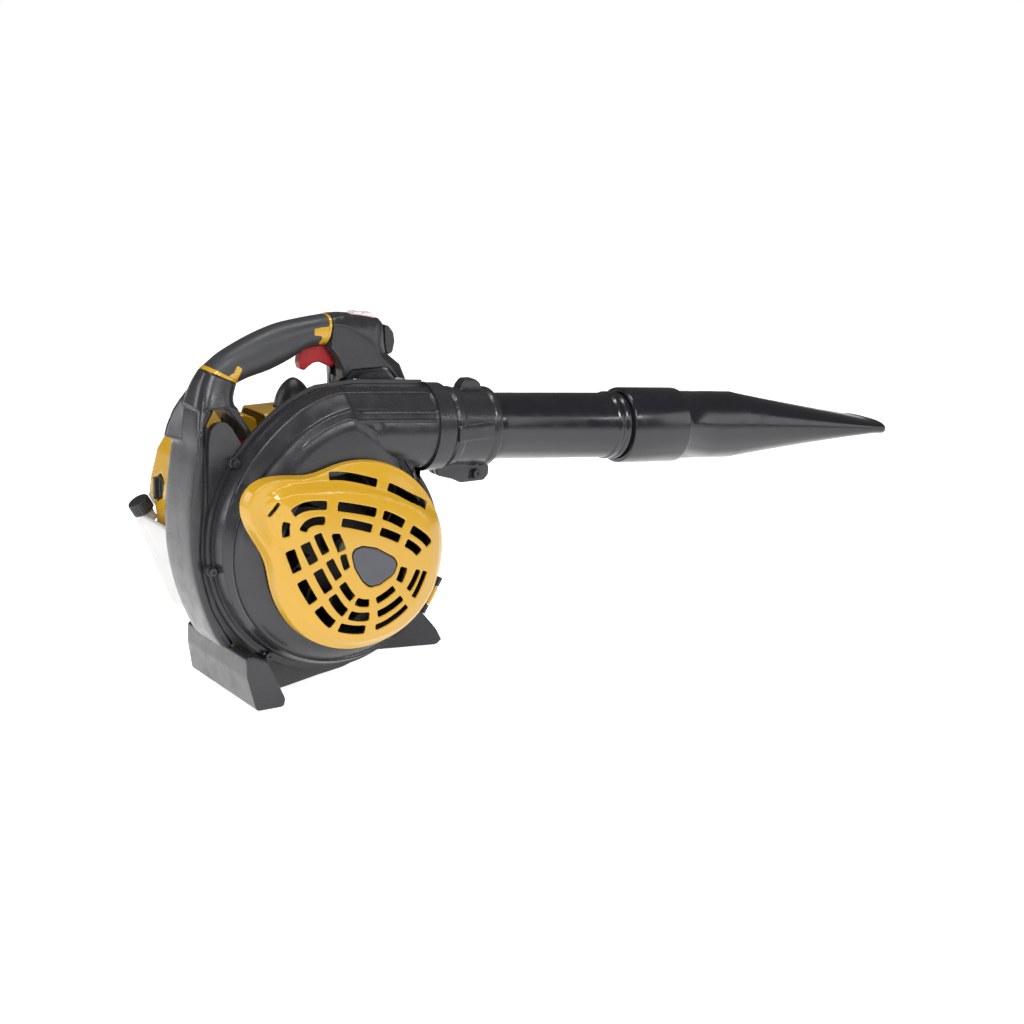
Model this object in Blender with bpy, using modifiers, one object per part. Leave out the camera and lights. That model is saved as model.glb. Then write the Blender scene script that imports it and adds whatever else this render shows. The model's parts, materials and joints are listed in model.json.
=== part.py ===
# Hand-held petrol leaf blower with a handle frame, a snail-shell fan housing,
# a two-stroke engine behind it and a bayonet nozzle.  Metres, +Z up, +X towards the nozzle.
# The origin is the centre of the rear foot's sole.  Lengths below are in millimetres.
import bpy
import bmesh
import math
from mathutils import Vector, Matrix

MM = 0.001
FOOT_X = 16.0          # the sole's centre, ahead of its own rear edge
GAP = 0.3              # clearance between pieces that touch

# fan and scroll
CX, CZ = 109.0, 151.0  # crank and fan axis, parallel to Y
PART_Y = -40.0         # parting plane of the two housing halves
FRONT_Y = -82.0        # intake face
BACK_Y = -4.0          # wall on the engine side
WALL = 2.6
INLET_R = 84.0
FAN_R = 86.0
TONGUE = 38.7          # where the scroll starts, degrees from +X
SLOPE = -0.101         # the blowing line drops towards the nozzle
DUCT_R = 43.0
TUBE_R = 35.0

SOLVER = 'MANIFOLD'    # EXACT leaves open edges where bosses meet the scroll

# engine
ENG_Y = 58.0           # cylinder plane
BORE_R = 18.3
STROKE = 28.0

# frame
STRAP_W = 35.0         # half width of the rear strap
CORE_W = 11.0          # half width of the core inside the grip
GRIP_W = 18.0

for ob in list(bpy.data.objects):
    bpy.data.objects.remove(ob, do_unlink=True)


def collection(name):
    c = bpy.data.collections.new(name)
    bpy.context.scene.collection.children.link(c)
    return c


PARTS = collection("leaf_blower")
CUTTERS = collection("cutters")


def material(name, rgb, rough, metal=0.0, alpha=1.0):
    m = bpy.data.materials.new(name)
    m.use_nodes = True
    b = m.node_tree.nodes["Principled BSDF"]
    b.inputs["Base Color"].default_value = (*rgb, 1.0)
    b.inputs["Roughness"].default_value = rough
    b.inputs["Metallic"].default_value = metal
    b.inputs["Alpha"].default_value = alpha
    return m


HOUSING = material("housing_plastic", (0.075, 0.075, 0.082), 0.38)
TUBE = material("tube_plastic", (0.03, 0.03, 0.032), 0.22)
RUBBER = material("grip_rubber", (0.045, 0.045, 0.05), 0.7)
YELLOW = material("yellow_plastic", (0.80, 0.46, 0.035), 0.25)
RED = material("red_plastic", (0.30, 0.012, 0.016), 0.35)
TANK = material("tank_plastic", (0.75, 0.75, 0.73), 0.4)
ALU = material("cast_aluminium", (0.55, 0.55, 0.56), 0.45, 1.0)
STEEL = material("steel", (0.42, 0.42, 0.43), 0.3, 1.0)
BLACK = material("black_plastic", (0.018, 0.018, 0.02), 0.45)
FOAM = material("filter_foam", (0.05, 0.05, 0.05), 0.95)
CLEAR = material("clear_plastic", (0.8, 0.8, 0.78), 0.15, 0.0, 0.5)
BADGE = material("badge", (0.12, 0.12, 0.135), 0.4)


def P(x, y, z):
    """A point in millimetres from the rear foot's rear edge, as metres in the part's frame."""
    return Vector(((x - FOOT_X) * MM, y * MM, z * MM))


def axis_z(x):
    """Height of the blowing line above the ground at x."""
    return 253.7 + SLOPE * (x - 301.6)


AX = Vector((1.0, 0.0, SLOPE)).normalized()
TUBE_Q = AX.to_track_quat('Z', 'Y')


def link(ob, mat=None, coll=None):
    (coll or PARTS).objects.link(ob)
    if mat is not None:
        ob.data.materials.clear()
        ob.data.materials.append(mat)
    return ob


def smooth(ob, angle=35):
    ob.data.shade_smooth()
    ob.data.set_sharp_from_angle(angle=math.radians(angle))
    return ob


def from_bmesh(name, bm, mat, coll=None, tris=True):
    bmesh.ops.recalc_face_normals(bm, faces=bm.faces)
    if bm.calc_volume(signed=True) < 0:
        bmesh.ops.reverse_faces(bm, faces=bm.faces)
    if tris:
        bmesh.ops.triangulate(bm, faces=bm.faces)
    me = bpy.data.meshes.new(name)
    bm.to_mesh(me)
    bm.free()
    return link(bpy.data.objects.new(name, me), mat, coll)


def as_mesh(ob):
    """Turn an object into a plain welded mesh object in world space and drop the original."""
    bpy.context.view_layer.update()
    dg = bpy.context.evaluated_depsgraph_get()
    me = bpy.data.meshes.new_from_object(ob.evaluated_get(dg))
    me.transform(ob.matrix_world)
    bm = bmesh.new()
    bm.from_mesh(me)
    bmesh.ops.remove_doubles(bm, verts=bm.verts, dist=0.00001)
    bmesh.ops.recalc_face_normals(bm, faces=bm.faces)
    bm.to_mesh(me)
    bm.free()
    name, mats, colls = ob.name, [m for m in ob.data.materials], list(ob.users_collection)
    bpy.data.objects.remove(ob, do_unlink=True)
    new = bpy.data.objects.new(name, me)
    me.materials.clear()
    for m in mats:
        me.materials.append(m)
    for c in colls:
        c.objects.link(new)
    return new


def outline(name, pts, y0, y1, mat=None, holes=(), coll=None):
    """A flat outline in the XZ plane, extruded from y0 to y1."""
    cu = bpy.data.curves.new(name, 'CURVE')
    cu.dimensions = '2D'
    cu.fill_mode = 'BOTH'
    cu.extrude = (y1 - y0) / 2 * MM
    for loop in [pts, *holes]:
        sp = cu.splines.new('POLY')
        sp.points.add(len(loop) - 1)
        for p, (x, z) in zip(sp.points, loop):
            p.co = ((x - FOOT_X) * MM, z * MM, 0, 1)
        sp.use_cyclic_u = True
    ob = bpy.data.objects.new(name, cu)
    ob.location = (0, (y0 + y1) / 2 * MM, 0)
    ob.rotation_euler = (math.pi / 2, 0, 0)
    (coll or PARTS).objects.link(ob)
    if mat:
        cu.materials.append(mat)
    return as_mesh(ob)


def lathe(name, prof, origin, direction, steps, mat=None, closed=False, coll=None):
    """A turned shape: (radius, height) points, top to bottom along the outside."""
    me = bpy.data.meshes.new(name)
    n = len(prof)
    edges = [(i, i + 1) for i in range(n - 1)] + ([(n - 1, 0)] if closed else [])
    me.from_pydata([(r * MM, 0, h * MM) for r, h in prof], edges, [])
    ob = bpy.data.objects.new(name, me)
    ob.location = origin
    ob.rotation_mode = 'QUATERNION'
    ob.rotation_quaternion = Vector(direction).to_track_quat('Z', 'Y')
    link(ob, mat, coll)
    sc = ob.modifiers.new("turn", 'SCREW')
    sc.axis = 'Z'
    sc.steps = sc.render_steps = steps
    sc.use_merge_vertices = True
    sc.merge_threshold = 0.00001
    sc.use_smooth_shade = True
    return ob


def cyl(name, r, origin, direction, length, mat=None, steps=20, coll=None):
    """A round bar that starts at origin."""
    return lathe(name, [(0, length), (r, length), (r, 0), (0, 0)], origin, direction, steps, mat, coll=coll)


def ring(name, r0, r1, origin, direction, length, mat=None, steps=24, coll=None):
    return lathe(name, [(r1, length), (r1, 0), (r0, 0), (r0, length)], origin, direction, steps, mat, True, coll)


def box(name, lo, hi, mat=None, bevel=0.0, coll=None):
    bm = bmesh.new()
    bmesh.ops.create_cube(bm, size=1.0)
    lo, hi = P(*lo), P(*hi)
    bmesh.ops.scale(bm, vec=hi - lo, verts=bm.verts)
    ob = from_bmesh(name, bm, mat, coll, tris=False)
    ob.location = (lo + hi) / 2
    if bevel:
        b = ob.modifiers.new("edge", 'BEVEL')
        b.width = bevel * MM
        b.segments = 2
    return ob


def tube(name, pts, r, mat, res=1, coll=None):
    """A wire or hose through pts on a smooth curve."""
    cu = bpy.data.curves.new(name, 'CURVE')
    cu.dimensions = '3D'
    cu.bevel_depth = r * MM
    cu.bevel_resolution = res
    cu.use_fill_caps = True
    cu.render_resolution_u = 0
    dense = []
    n = len(pts)
    for i in range(n - 1):
        a, b, c, d = (pts[max(i - 1, 0)], pts[i], pts[i + 1], pts[min(i + 2, n - 1)])
        for k in range(3):
            t = k / 3
            dense.append([0.5 * (2 * b[j] + (c[j] - a[j]) * t + (2 * a[j] - 5 * b[j] + 4 * c[j] - d[j]) * t * t
                                 + (3 * b[j] - a[j] - 3 * c[j] + d[j]) * t ** 3) for j in range(3)])
    dense.append(list(pts[-1]))
    sp = cu.splines.new('POLY')
    sp.points.add(len(dense) - 1)
    for p, q in zip(sp.points, dense):
        p.co = (*P(*q), 1)
    ob = bpy.data.objects.new(name, cu)
    (coll or PARTS).objects.link(ob)
    cu.materials.append(mat)
    return ob


def loft(name, rings, mat=None, wrap=False, coll=None):
    """Skin a row of point rings; wrap joins the last ring to the first."""
    bm = bmesh.new()
    vs = [[bm.verts.new(p) for p in r] for r in rings]
    n = len(vs[0])
    last = len(vs) if wrap else len(vs) - 1
    for i in range(last):
        a, b = vs[i], vs[(i + 1) % len(vs)]
        for k in range(n):
            bm.faces.new((a[k], a[(k + 1) % n], b[(k + 1) % n], b[k]))
    if not wrap:
        bm.faces.new(list(reversed(vs[0])))
        bm.faces.new(vs[-1])
    return from_bmesh(name, bm, mat, coll)


def boolean(ob, other, op='DIFFERENCE'):
    for c in list(other.users_collection):
        c.objects.unlink(other)
    CUTTERS.objects.link(other)
    other.hide_render = True
    other.display_type = 'WIRE'
    m = ob.modifiers.new(op.lower(), 'BOOLEAN')
    m.operation = op
    m.object = other
    m.solver = SOLVER
    return ob


def union(ob, other):
    return boolean(ob, other, 'UNION')


def cut(ob, *others):
    for o in others:
        boolean(ob, o)
    return ob


def origin_at(ob, p):
    """Move an object's origin to p without moving its shape."""
    bpy.context.view_layer.update()
    ob.data.transform(Matrix.Translation(-p) @ ob.matrix_world)
    ob.matrix_world = Matrix.Translation(p)
    return ob


def mirrored(ob, name, mat):
    """The other hand of a piece, as its own object."""
    me = ob.data.copy()
    me.transform(Matrix.Scale(-1, 4, (0, 1, 0)))
    me.flip_normals()
    return link(bpy.data.objects.new(name, me), mat)


def inset(pts, d):
    """A closed outline moved inwards by d, corner by corner."""
    area = sum(a[0] * b[1] - b[0] * a[1] for a, b in zip(pts, pts[1:] + pts[:1]))
    s = 1 if area > 0 else -1
    out = []
    n = len(pts)
    for i in range(n):
        a, b, c = Vector(pts[i - 1]), Vector(pts[i]), Vector(pts[(i + 1) % n])
        e1, e2 = (b - a).normalized(), (c - b).normalized()
        n1, n2 = Vector((-e1.y, e1.x)) * s, Vector((-e2.y, e2.x)) * s
        m = (n1 + n2).normalized()
        q = b + m * (d / max(0.45, m.dot(n1)))
        out.append((q.x, q.y))
    return out


# ---------------------------------------------------------------- fan housing
def scroll_r(deg):
    """Outer radius of the snail shell at an angle from +X, growing clockwise from the tongue."""
    t = (TONGUE - deg) % 360
    if t <= 309:
        g = min(max((t - 265) / 44, 0), 1)
        return 107 + 50 * (t / 309) ** 1.25 + 8 * g * g * (3 - 2 * g)
    return 165 + (107 - 165) * (t - 309) / 51


def scroll_solid(name, off, n=32):
    """The snail shell's solid, off millimetres inside its outer surface."""
    yf, yb = FRONT_Y + off, BACK_Y - off
    rings = []
    bm = bmesh.new()
    front = bm.verts.new(P(CX, yf, CZ))
    back = bm.verts.new(P(CX, yb, CZ))
    cols = []
    for i in range(n):
        deg = TONGUE - 360 * (i + 0.5) / n
        R = scroll_r(deg) - off
        col = []
        prof = [(70, yf)]
        for side, depth, reach in ((-1, PART_Y - yf, 40), (1, yb - PART_Y, 36)):
            w = min(reach, R - 84 if side < 0 else R - 72)
            arc = [(R - w + w * math.sin(a), PART_Y + side * depth * math.cos(a))
                   for a in [math.pi / 2 * k / 3 for k in range(4)]]
            prof += arc if side < 0 else list(reversed(arc))[1:]
        prof.append((50, yb))
        c, s = math.cos(math.radians(deg)), math.sin(math.radians(deg))
        for r, y in prof:
            col.append(bm.verts.new(P(CX + r * c, y, CZ + r * s)))
        cols.append(col)
    for i in range(n):
        a, b = cols[i], cols[(i + 1) % n]
        bm.faces.new((front, a[0], b[0]))
        bm.faces.new((back, b[-1], a[-1]))
        for k in range(len(a) - 1):
            bm.faces.new((a[k], a[k + 1], b[k + 1], b[k]))
    return from_bmesh(name, bm, HOUSING)


def tube_at(x, dy=0.0):
    return P(x, PART_Y + dy, axis_z(x))


def flange_line(grow):
    """The housing's outline on its parting plane, grown outwards."""
    pts = []
    for k in range(29):
        deg = TONGUE - 6 - k * (309 - 12) / 28
        r = scroll_r(deg) + grow
        pts.append((CX + r * math.cos(math.radians(deg)), CZ + r * math.sin(math.radians(deg))))
    nrm = (-SLOPE * AX.x, AX.x)
    top, bot = DUCT_R + grow, -(DUCT_R + grow)
    for x, d in ((125, top), (202, top), (202, bot), (188, bot)):
        pts.append((x + nrm[0] * d, axis_z(x) + nrm[1] * d))
    return pts


SCREWS = [(139.0, 3.5), (231.0, 3.5), (183.0, 3.5)]


def screw_spot(deg, out):
    r = scroll_r(deg) + out
    return CX + r * math.cos(math.radians(deg)), CZ + r * math.sin(math.radians(deg))


def housing_solid(name, keep):
    """The hollow snail shell with its duct and parting flange; keep is -1 for the intake half, 1 for the other."""
    ob = scroll_solid(name, 0)
    x0 = 109
    union(ob, cyl(name + "_duct", DUCT_R, tube_at(x0), AX, (226 - x0) / AX.x, steps=28))
    lip = outline(name + "_lip", flange_line(6), PART_Y - 2.6, PART_Y + 2.6)
    union(ob, lip)
    union(ob, ring(name + "_band", DUCT_R - 1, DUCT_R + 3.2, tube_at(204), AX, 20, steps=28))
    for i, (deg, out) in enumerate(SCREWS):
        x, z = screw_spot(deg, out)
        union(ob, cyl(f"{name}_boss{i}", 6.4, P(x, PART_Y - 7, z), (0, 1, 0), 11.2, steps=8))
    if keep > 0:
        wing = [(-20, 196), (-26, 230), (-26, 262), (-23, 278), (-16, 287), (-7, 289), (3, 284), (11, 272),
                (24, 250), (40, 236), (30, 200)]
        union(ob, outline(name + "_wing", wing, PART_Y - 0.4, PART_Y + 4.4))
        union(ob, box(name + "_perch", (152, -6, 262), (182, 20, 282)))
        for i, (x, z) in enumerate(((CX - 48, CZ), (CX + 50, CZ - 20))):
            union(ob, cyl(f"{name}_leg{i}", 7, P(x, BACK_Y - 1, z), (0, 1, 0), 36.7, steps=10))
    cut(ob, scroll_solid(name + "_void", WALL),
        cyl(name + "_bore", DUCT_R - WALL, tube_at(x0 + 4), AX, (202 - x0 - 4) / AX.x, steps=28),
        cyl(name + "_mouth", DUCT_R - 4.4, tube_at(196), AX, 60, steps=28))
    if keep < 0:
        cut(ob, cyl(name + "_inlet", INLET_R, P(CX, -100, CZ), (0, 1, 0), 50, steps=36),
            box(name + "_split", (-200, PART_Y - GAP / 2, -100), (900, 120, 500)))
    else:
        cut(ob, cyl(name + "_shaft", 19, P(CX, -30, CZ), (0, 1, 0), 60, steps=24),
            box(name + "_split", (-200, -200, -100), (900, PART_Y + GAP / 2, 500)))
    for i, (deg, out) in enumerate(SCREWS):
        x, z = screw_spot(deg, out)
        cut(ob, cyl(f"{name}_hole{i}", 2.3, P(x, PART_Y - 20, z), (0, 1, 0), 40, steps=8))
    return smooth(ob)


housing_solid("volute_intake_half", -1)
housing_solid("volute_engine_half", 1)

for i, (deg, out) in enumerate(SCREWS):
    x, z = screw_spot(deg, out)
    lathe(f"housing_screw_{i + 1}", [(0, -1.2), (1.6, -1.2), (1.6, 0), (4.2, 0), (4.2, -4), (2.0, -4), (2.0, -15), (0, -15)],
          P(x, PART_Y - 7 - 4.3, z), (0, -1, 0), 12, STEEL)

# ---------------------------------------------------------------- intake grille
GX = CX - 3.5          # the grille's own centre, a little behind the fan axis


def smooth_loop(ctrl, t):
    """Point at t (0..len) on a closed smooth curve through the control points."""
    n = len(ctrl)
    i = int(math.floor(t)) % n
    u = t - math.floor(t)
    a, b, c, d = (Vector(ctrl[(i + k) % n]) for k in (-1, 0, 1, 2))
    return 0.5 * (2 * b + (c - a) * u + (2 * a - 5 * b + 4 * c - d) * u * u + (3 * b - a - 3 * c + d) * u ** 3)


# nested rounded triangles that the slots follow, around the fan axis
RINGS = {
    "top": [(-95, 75), (-36, 86), (17, 73), (52, 55), (80, 33), (95, -30), (60, -95), (-60, -95), (-110, 0)],
    "outer": [(-88, 40), (-76, 59), (-45, 60), (12, 45), (45, 27), (71, 3), (64, -24), (44, -55), (8, -73),
              (-34, -66), (-58, -40), (-77, -3)],
    "middle": [(-71, 34), (-60, 46), (-28, 41), (8, 29), (38, 14), (58, -3), (55, -22), (38, -45), (8, -59),
               (-24, -54), (-44, -28), (-60, 4)],
    "inner": [(-53, 34), (-40, 36), (-10, 28), (25, 18), (45, 0), (42, -16), (32, -34), (8, -46), (-13, -42),
              (-29, -20), (-43, 8)],
    "core": [(-32, 30), (-10, 24), (20, 14), (34, -6), (20, -28), (-4, -30), (-20, -12), (-28, 14)],
}
# ring, first angle, last angle (degrees from +X, clockwise), half width
SLOTS = [
    ("top", 112, 77, 2.7), ("top", 67, 30, 2.7),
    ("outer", 159, 151, 2.6), ("outer", 145, 126, 3.0), ("outer", 119, 77, 3.2), ("outer", 67, 36, 3.2),
    ("outer", 26, 4, 3.0), ("outer", -19, -43, 1.9), ("outer", -52, -84, 1.9), ("outer", -93, -116, 3.3),
    ("outer", -122, -142, 3.5), ("outer", -149, -170, 3.7), ("outer", -178, -193, 3.7),
    ("middle", 152, 136, 2.7), ("middle", 125, 82, 2.8), ("middle", 63, 24, 2.8), ("middle", 15, -2, 2.8),
    ("middle", -19, -41, 1.9), ("middle", -51, -81, 2.4), ("middle", -90, -112, 3.2), ("middle", -117, -142, 3.5),
    ("middle", -149, -176, 3.8), ("middle", -184, -200, 3.8),
    ("inner", -20, -39, 3.1), ("inner", -49, -77, 2.4), ("inner", -87, -106, 2.7), ("inner", -112, -141, 2.7),
    ("inner", -152, -185, 2.9), ("inner", -194, -211, 2.9),
    ("core", -203, -222, 3.4), ("core", -160, -196, 2.2),
]


def ring_at(name, deg):
    """Where a ring crosses the ray at an angle from the fan axis."""
    ctrl = RINGS[name]
    n = len(ctrl) * 12
    best = None
    want = math.radians(deg)
    for k in range(n):
        a, b = smooth_loop(ctrl, k / 12), smooth_loop(ctrl, (k + 1) / 12)
        fa = math.sin(math.atan2(a.y, a.x) - want)
        fb = math.sin(math.atan2(b.y, b.x) - want)
        ahead = a.x * math.cos(want) + a.y * math.sin(want) > 0
        if ahead and fa * fb <= 0 and fa != fb:
            best = a + (b - a) * (fa / (fa - fb))
    return best


def slot_outline(name, a0, a1, half):
    n = 1 if abs(a1 - a0) < 25 else 2
    mid = [ring_at(name, a0 + (a1 - a0) * k / n) for k in range(n + 1)]
    left, right = [], []
    for k, p in enumerate(mid):
        d = (mid[min(k + 1, n)] - mid[max(k - 1, 0)]).normalized()
        nn = Vector((-d.y, d.x)) * half
        left.append(p + nn)
        right.append(p - nn)
    dx, dz = (-3, 1.5) if name in ("inner", "core") else (0, 0)
    return [(CX + p.x + dx, CZ + p.y + dz) for p in left + list(reversed(right))]


def grille_r(deg):
    """The grille's edge: a circle drawn out to the latch corner."""
    d = abs((deg - 147 + 180) % 360 - 180)
    return 97 + 46 * math.exp(-(d / 19) ** 2.2)


RIM_Y, CROWN_Y = -84.5, -111.5


def crown(rho):
    """Depth of the grille's face from its edge to its middle."""
    return -93.5 + (CROWN_Y + 93.5) * (1 - rho ** 2.2)


def grille():
    n = 30
    bm = bmesh.new()
    mid = bm.verts.new(P(GX, CROWN_Y, CZ))
    cols = []
    for i in range(n):
        deg = 147 + 360 * i / n
        R = grille_r(deg)
        c, s = math.cos(math.radians(deg)), math.sin(math.radians(deg))
        prof = [(R * rho, crown(rho)) for rho in (0.52, 0.86)] + [(R * 0.99, -91), (R, RIM_Y)]
        cols.append([bm.verts.new(P(GX + r * c, y, CZ + r * s)) for r, y in prof])
    for i in range(n):
        a, b = cols[i], cols[(i + 1) % n]
        bm.faces.new((mid, b[0], a[0]))
        for k in range(len(a) - 1):
            bm.faces.new((a[k], b[k], b[k + 1], a[k + 1]))
    bmesh.ops.triangulate(bm, faces=bm.faces)
    me = bpy.data.meshes.new("intake_grille")
    bm.to_mesh(me)
    bm.free()
    ob = link(bpy.data.objects.new("intake_grille", me), YELLOW)
    so = ob.modifiers.new("wall", 'SOLIDIFY')
    so.thickness = 2.6 * MM
    so.offset = -1
    so.use_even_offset = True
    return ob


GRILLE = grille()
slots = None
bm_slots = bmesh.new()
for k, (rname, a0, a1, half) in enumerate(SLOTS):
    o = outline(f"slot_{k}", slot_outline(rname, a0, a1, half), -125, -86, coll=CUTTERS)
    bm_slots.from_mesh(o.data)
    bpy.data.objects.remove(o, do_unlink=True)
slots = from_bmesh("grille_slots", bm_slots, None, CUTTERS)
cut(GRILLE, slots)

BADGE_PTS = [(-25, 12), (-22, 18), (-13, 20), (2, 16), (21, 4), (25, -3), (20, -13), (5, -21), (-6, -22), (-14, -15), (-22, -1)]


def badge_outline(k):
    return [(CX + 6 + x * k, CZ - 6 + z * k) for x, z in BADGE_PTS]


# badge pocket and badge: a plain rounded triangle let into the crown
cut(GRILLE, outline("badge_pocket", badge_outline(1.04), -130, -107.6, coll=CUTTERS))
outline("grille_badge", badge_outline(1.0), -111.2, -107.9 - 0.4, BADGE)

# hinge of the grille at its lower front edge
HINGE_P = (191.3, -86.5, 96.2)
HINGE_D = Vector((0.526, 0, 0.851)).normalized()
hp = P(*HINGE_P)
HN = Vector((0.851, 0, -0.526))


def hinge_box(name, s0, s1, n0, n1, y0, y1, coll=None):
    """A block laid along the hinge line: s along it, n outwards from the fan."""
    bm = bmesh.new()
    bmesh.ops.create_cube(bm, size=1.0)
    for v in bm.verts:
        s = s0 if v.co.z < 0 else s1
        nn = n0 if v.co.x < 0 else n1
        y = y0 if v.co.y < 0 else y1
        v.co = hp + HINGE_D * s * MM + HN * nn * MM + Vector((0, (y - HINGE_P[1]) * MM, 0))
    return from_bmesh(name, bm, None, coll)


union(GRILLE, cyl("grille_knuckle_solid", 3.4, hp - HINGE_D * 0.010, HINGE_D, 20, steps=10))
cut(GRILLE, cyl("grille_knuckle_bore", 1.6, hp - HINGE_D * 0.040, HINGE_D, 80, steps=8))
for k, s in enumerate((-20.5, 10.5)):
    ear = cyl(f"hinge_ear_{k}", 3.2, hp + HINGE_D * s * MM, HINGE_D, 10, steps=10, coll=CUTTERS)
    union(bpy.data.objects["volute_intake_half"], ear)
    union(bpy.data.objects["volute_intake_half"], hinge_box(f"hinge_web_{k}", s, s + 10, -14, -0.5, -85.5, -76, CUTTERS))
    cut(GRILLE, hinge_box(f"hinge_room_{k}", s - 0.6, s + 10.6, -16, 5, -90.6, -80, CUTTERS))
cut(bpy.data.objects["volute_intake_half"],
    cyl("hinge_pin_bore", 1.6, hp - HINGE_D * 0.040, HINGE_D, 80, steps=8, coll=CUTTERS),
    hinge_box("knuckle_room", -10.4, 10.4, -6, 6, -91, -80.5, CUTTERS))
cyl("grille_hinge_pin", 1.3, hp - HINGE_D * 0.0195, HINGE_D, 39, STEEL, steps=8)

# latch screw at the drawn-out corner
LATCH = (CX + 124 * math.cos(math.radians(147)), CZ + 124 * math.sin(math.radians(147)))
CD = Vector((math.cos(math.radians(147)), 0, math.sin(math.radians(147))))
CT = Vector((CD.z, 0, -CD.x))


def corner_block(name, r0, r1, w, y0, y1, mat=None, coll=None):
    bm = bmesh.new()
    bmesh.ops.create_cube(bm, size=1.0)
    for v in bm.verts:
        v.co = P(GX, 0, CZ) + CD * (r0 if v.co.x < 0 else r1) * MM + CT * (w if v.co.z > 0 else -w) * MM \
            + Vector((0, (y0 if v.co.y < 0 else y1) * MM, 0))
    return from_bmesh(name, bm, mat, coll)


union(bpy.data.objects["volute_intake_half"], corner_block("latch_seat", 108, 137, 8, -82.6, -52, None, CUTTERS))
cut(bpy.data.objects["volute_intake_half"], cyl("inlet_again", INLET_R, P(CX, -100, CZ), (0, 1, 0), 50, steps=36, coll=CUTTERS))
latch = corner_block("grille_latch", 118, 131, 5, -89.5, -82.9, BLACK)
cut(latch, corner_block("latch_hook", 125, 140, 8, -86, -80, None, CUTTERS))
cut(GRILLE, corner_block("latch_slit", 108.5, 110, 6, -130, -85, None, CUTTERS))

# ---------------------------------------------------------------- blowing tubes
def on_line(z):
    """A point on the blowing line, z millimetres beyond the duct's end at x = 226."""
    return tube_at(226) + AX * z * MM


# clamp collar behind the duct: a spigot in the duct, a bore that takes the tube, and the clamp lugs
collar = lathe("outlet_collar", [(40.2, 56), (40.2, 2.4), (38.1, 2.4), (38.1, -18), (35.4, -18), (35.4, 56)],
               on_line(0), AX, 24, HOUSING, True)
union(collar, lathe("collar_rib_a", [(41.6, 12), (41.6, 5), (38, 5), (38, 12)], on_line(0), AX, 24, closed=True))
union(collar, lathe("collar_rib_b", [(41.6, 55.5), (41.6, 49), (38, 49), (38, 55.5)], on_line(0), AX, 24, closed=True))
zt = axis_z(262)
union(collar, box("collar_lug", (260, -48, zt + 36), (279, -32, zt + 47)))
union(collar, box("collar_clamp_a", (252, -50, zt - 58), (282, -41, zt - 37)))
union(collar, box("collar_clamp_b", (252, -39, zt - 58), (282, -30, zt - 37)))
cut(collar, box("collar_slit", (200, -41.2, zt - 70), (300, -38.8, zt - 30)),
    cyl("collar_keep", 35.4, on_line(-30), AX, 120, steps=24),
    cyl("clamp_bore", 2.3, P(266, -60, zt - 49), (0, 1, 0), 40, steps=12))
lathe("collar_screw", [(0, -1.2), (1.7, -1.2), (1.7, 0), (4.5, 0), (4.5, -4), (2.0, -4), (2.0, -22), (0, -22)],
      P(266, -54.4, zt - 49), (0, -1, 0), 12, STEEL)

# upper tube: plain barrel with two ridges, and its end inside the nozzle's socket
lathe("upper_tube", [(TUBE_R, 276), (TUBE_R, 221.5), (36.6, 220), (36.6, 215.5), (TUBE_R, 214.5), (TUBE_R, 211.5), (36.6, 210.5),
                     (36.6, 206), (TUBE_R, 204.5), (TUBE_R, -14), (32.8, -14), (32.8, 276)],
      on_line(0), AX, 28, TUBE, True)


def section(z, hw, hh, power, n=24):
    """A superellipse across the blowing line: hw half width along Y, hh half height."""
    c = on_line(z)
    up = Vector((-AX.z, 0, AX.x))
    out = []
    for k in range(n):
        a = 2 * math.pi * k / n
        ca, sa = math.cos(a), math.sin(a)
        x = math.copysign(abs(ca) ** (2 / power), ca) * hw
        z_ = math.copysign(abs(sa) ** (2 / power), sa) * hh
        out.append(c + Vector((0, x * MM, 0)) + up * z_ * MM)
    return out


# nozzle: socket with a step, straight barrel, then a taper to a flat mouth
NOZZLE_END = (796 - 226) / AX.x
stations = [(223, 41, 41, 2), (297, 41, 41, 2), (300, 37.5, 37.5, 2), (374, 37, 37, 2)]
for k in range(1, 7):
    t = k / 6
    z = 374 + (NOZZLE_END - 374) * t
    hh = 37 + (9.5 - 37) * min(1, t * 1.08) ** 0.92
    hw = 37 + (46 - 37) * t ** 1.6
    stations.append((z, hw, hh, 2 + 1.2 * t))
outer = [section(*s) for s in stations]
inner = [section(223, 36.8, 36.8, 2), section(277, 36.8, 36.8, 2), section(278, 35, 35, 2), section(300, 35, 35, 2),
         section(374, 34.8, 34.8, 2)]
for z, hw, hh, p in stations[4:]:
    inner.append(section(z, hw - 2.2, hh - 2.2, p))
loft("nozzle_tube", outer + list(reversed(inner)), TUBE, wrap=True)

# ---------------------------------------------------------------- handle frame
GRIP = [((-17, 338), (17, 321)), ((5, 353), (31, 325.5)), ((36, 367), (52, 330.5)), ((65, 376), (73.5, 338.5)),
        ((95, 380), (94, 348.5)), ((121, 382), (114, 351))]


def core_pts(shrink):
    top, bot = [], []
    for o, i in GRIP:
        o, i = Vector(o), Vector(i)
        d = (o - i).normalized() * shrink
        top.append(tuple(o - d))
        bot.append(tuple(i + d))
    return top, bot


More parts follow.
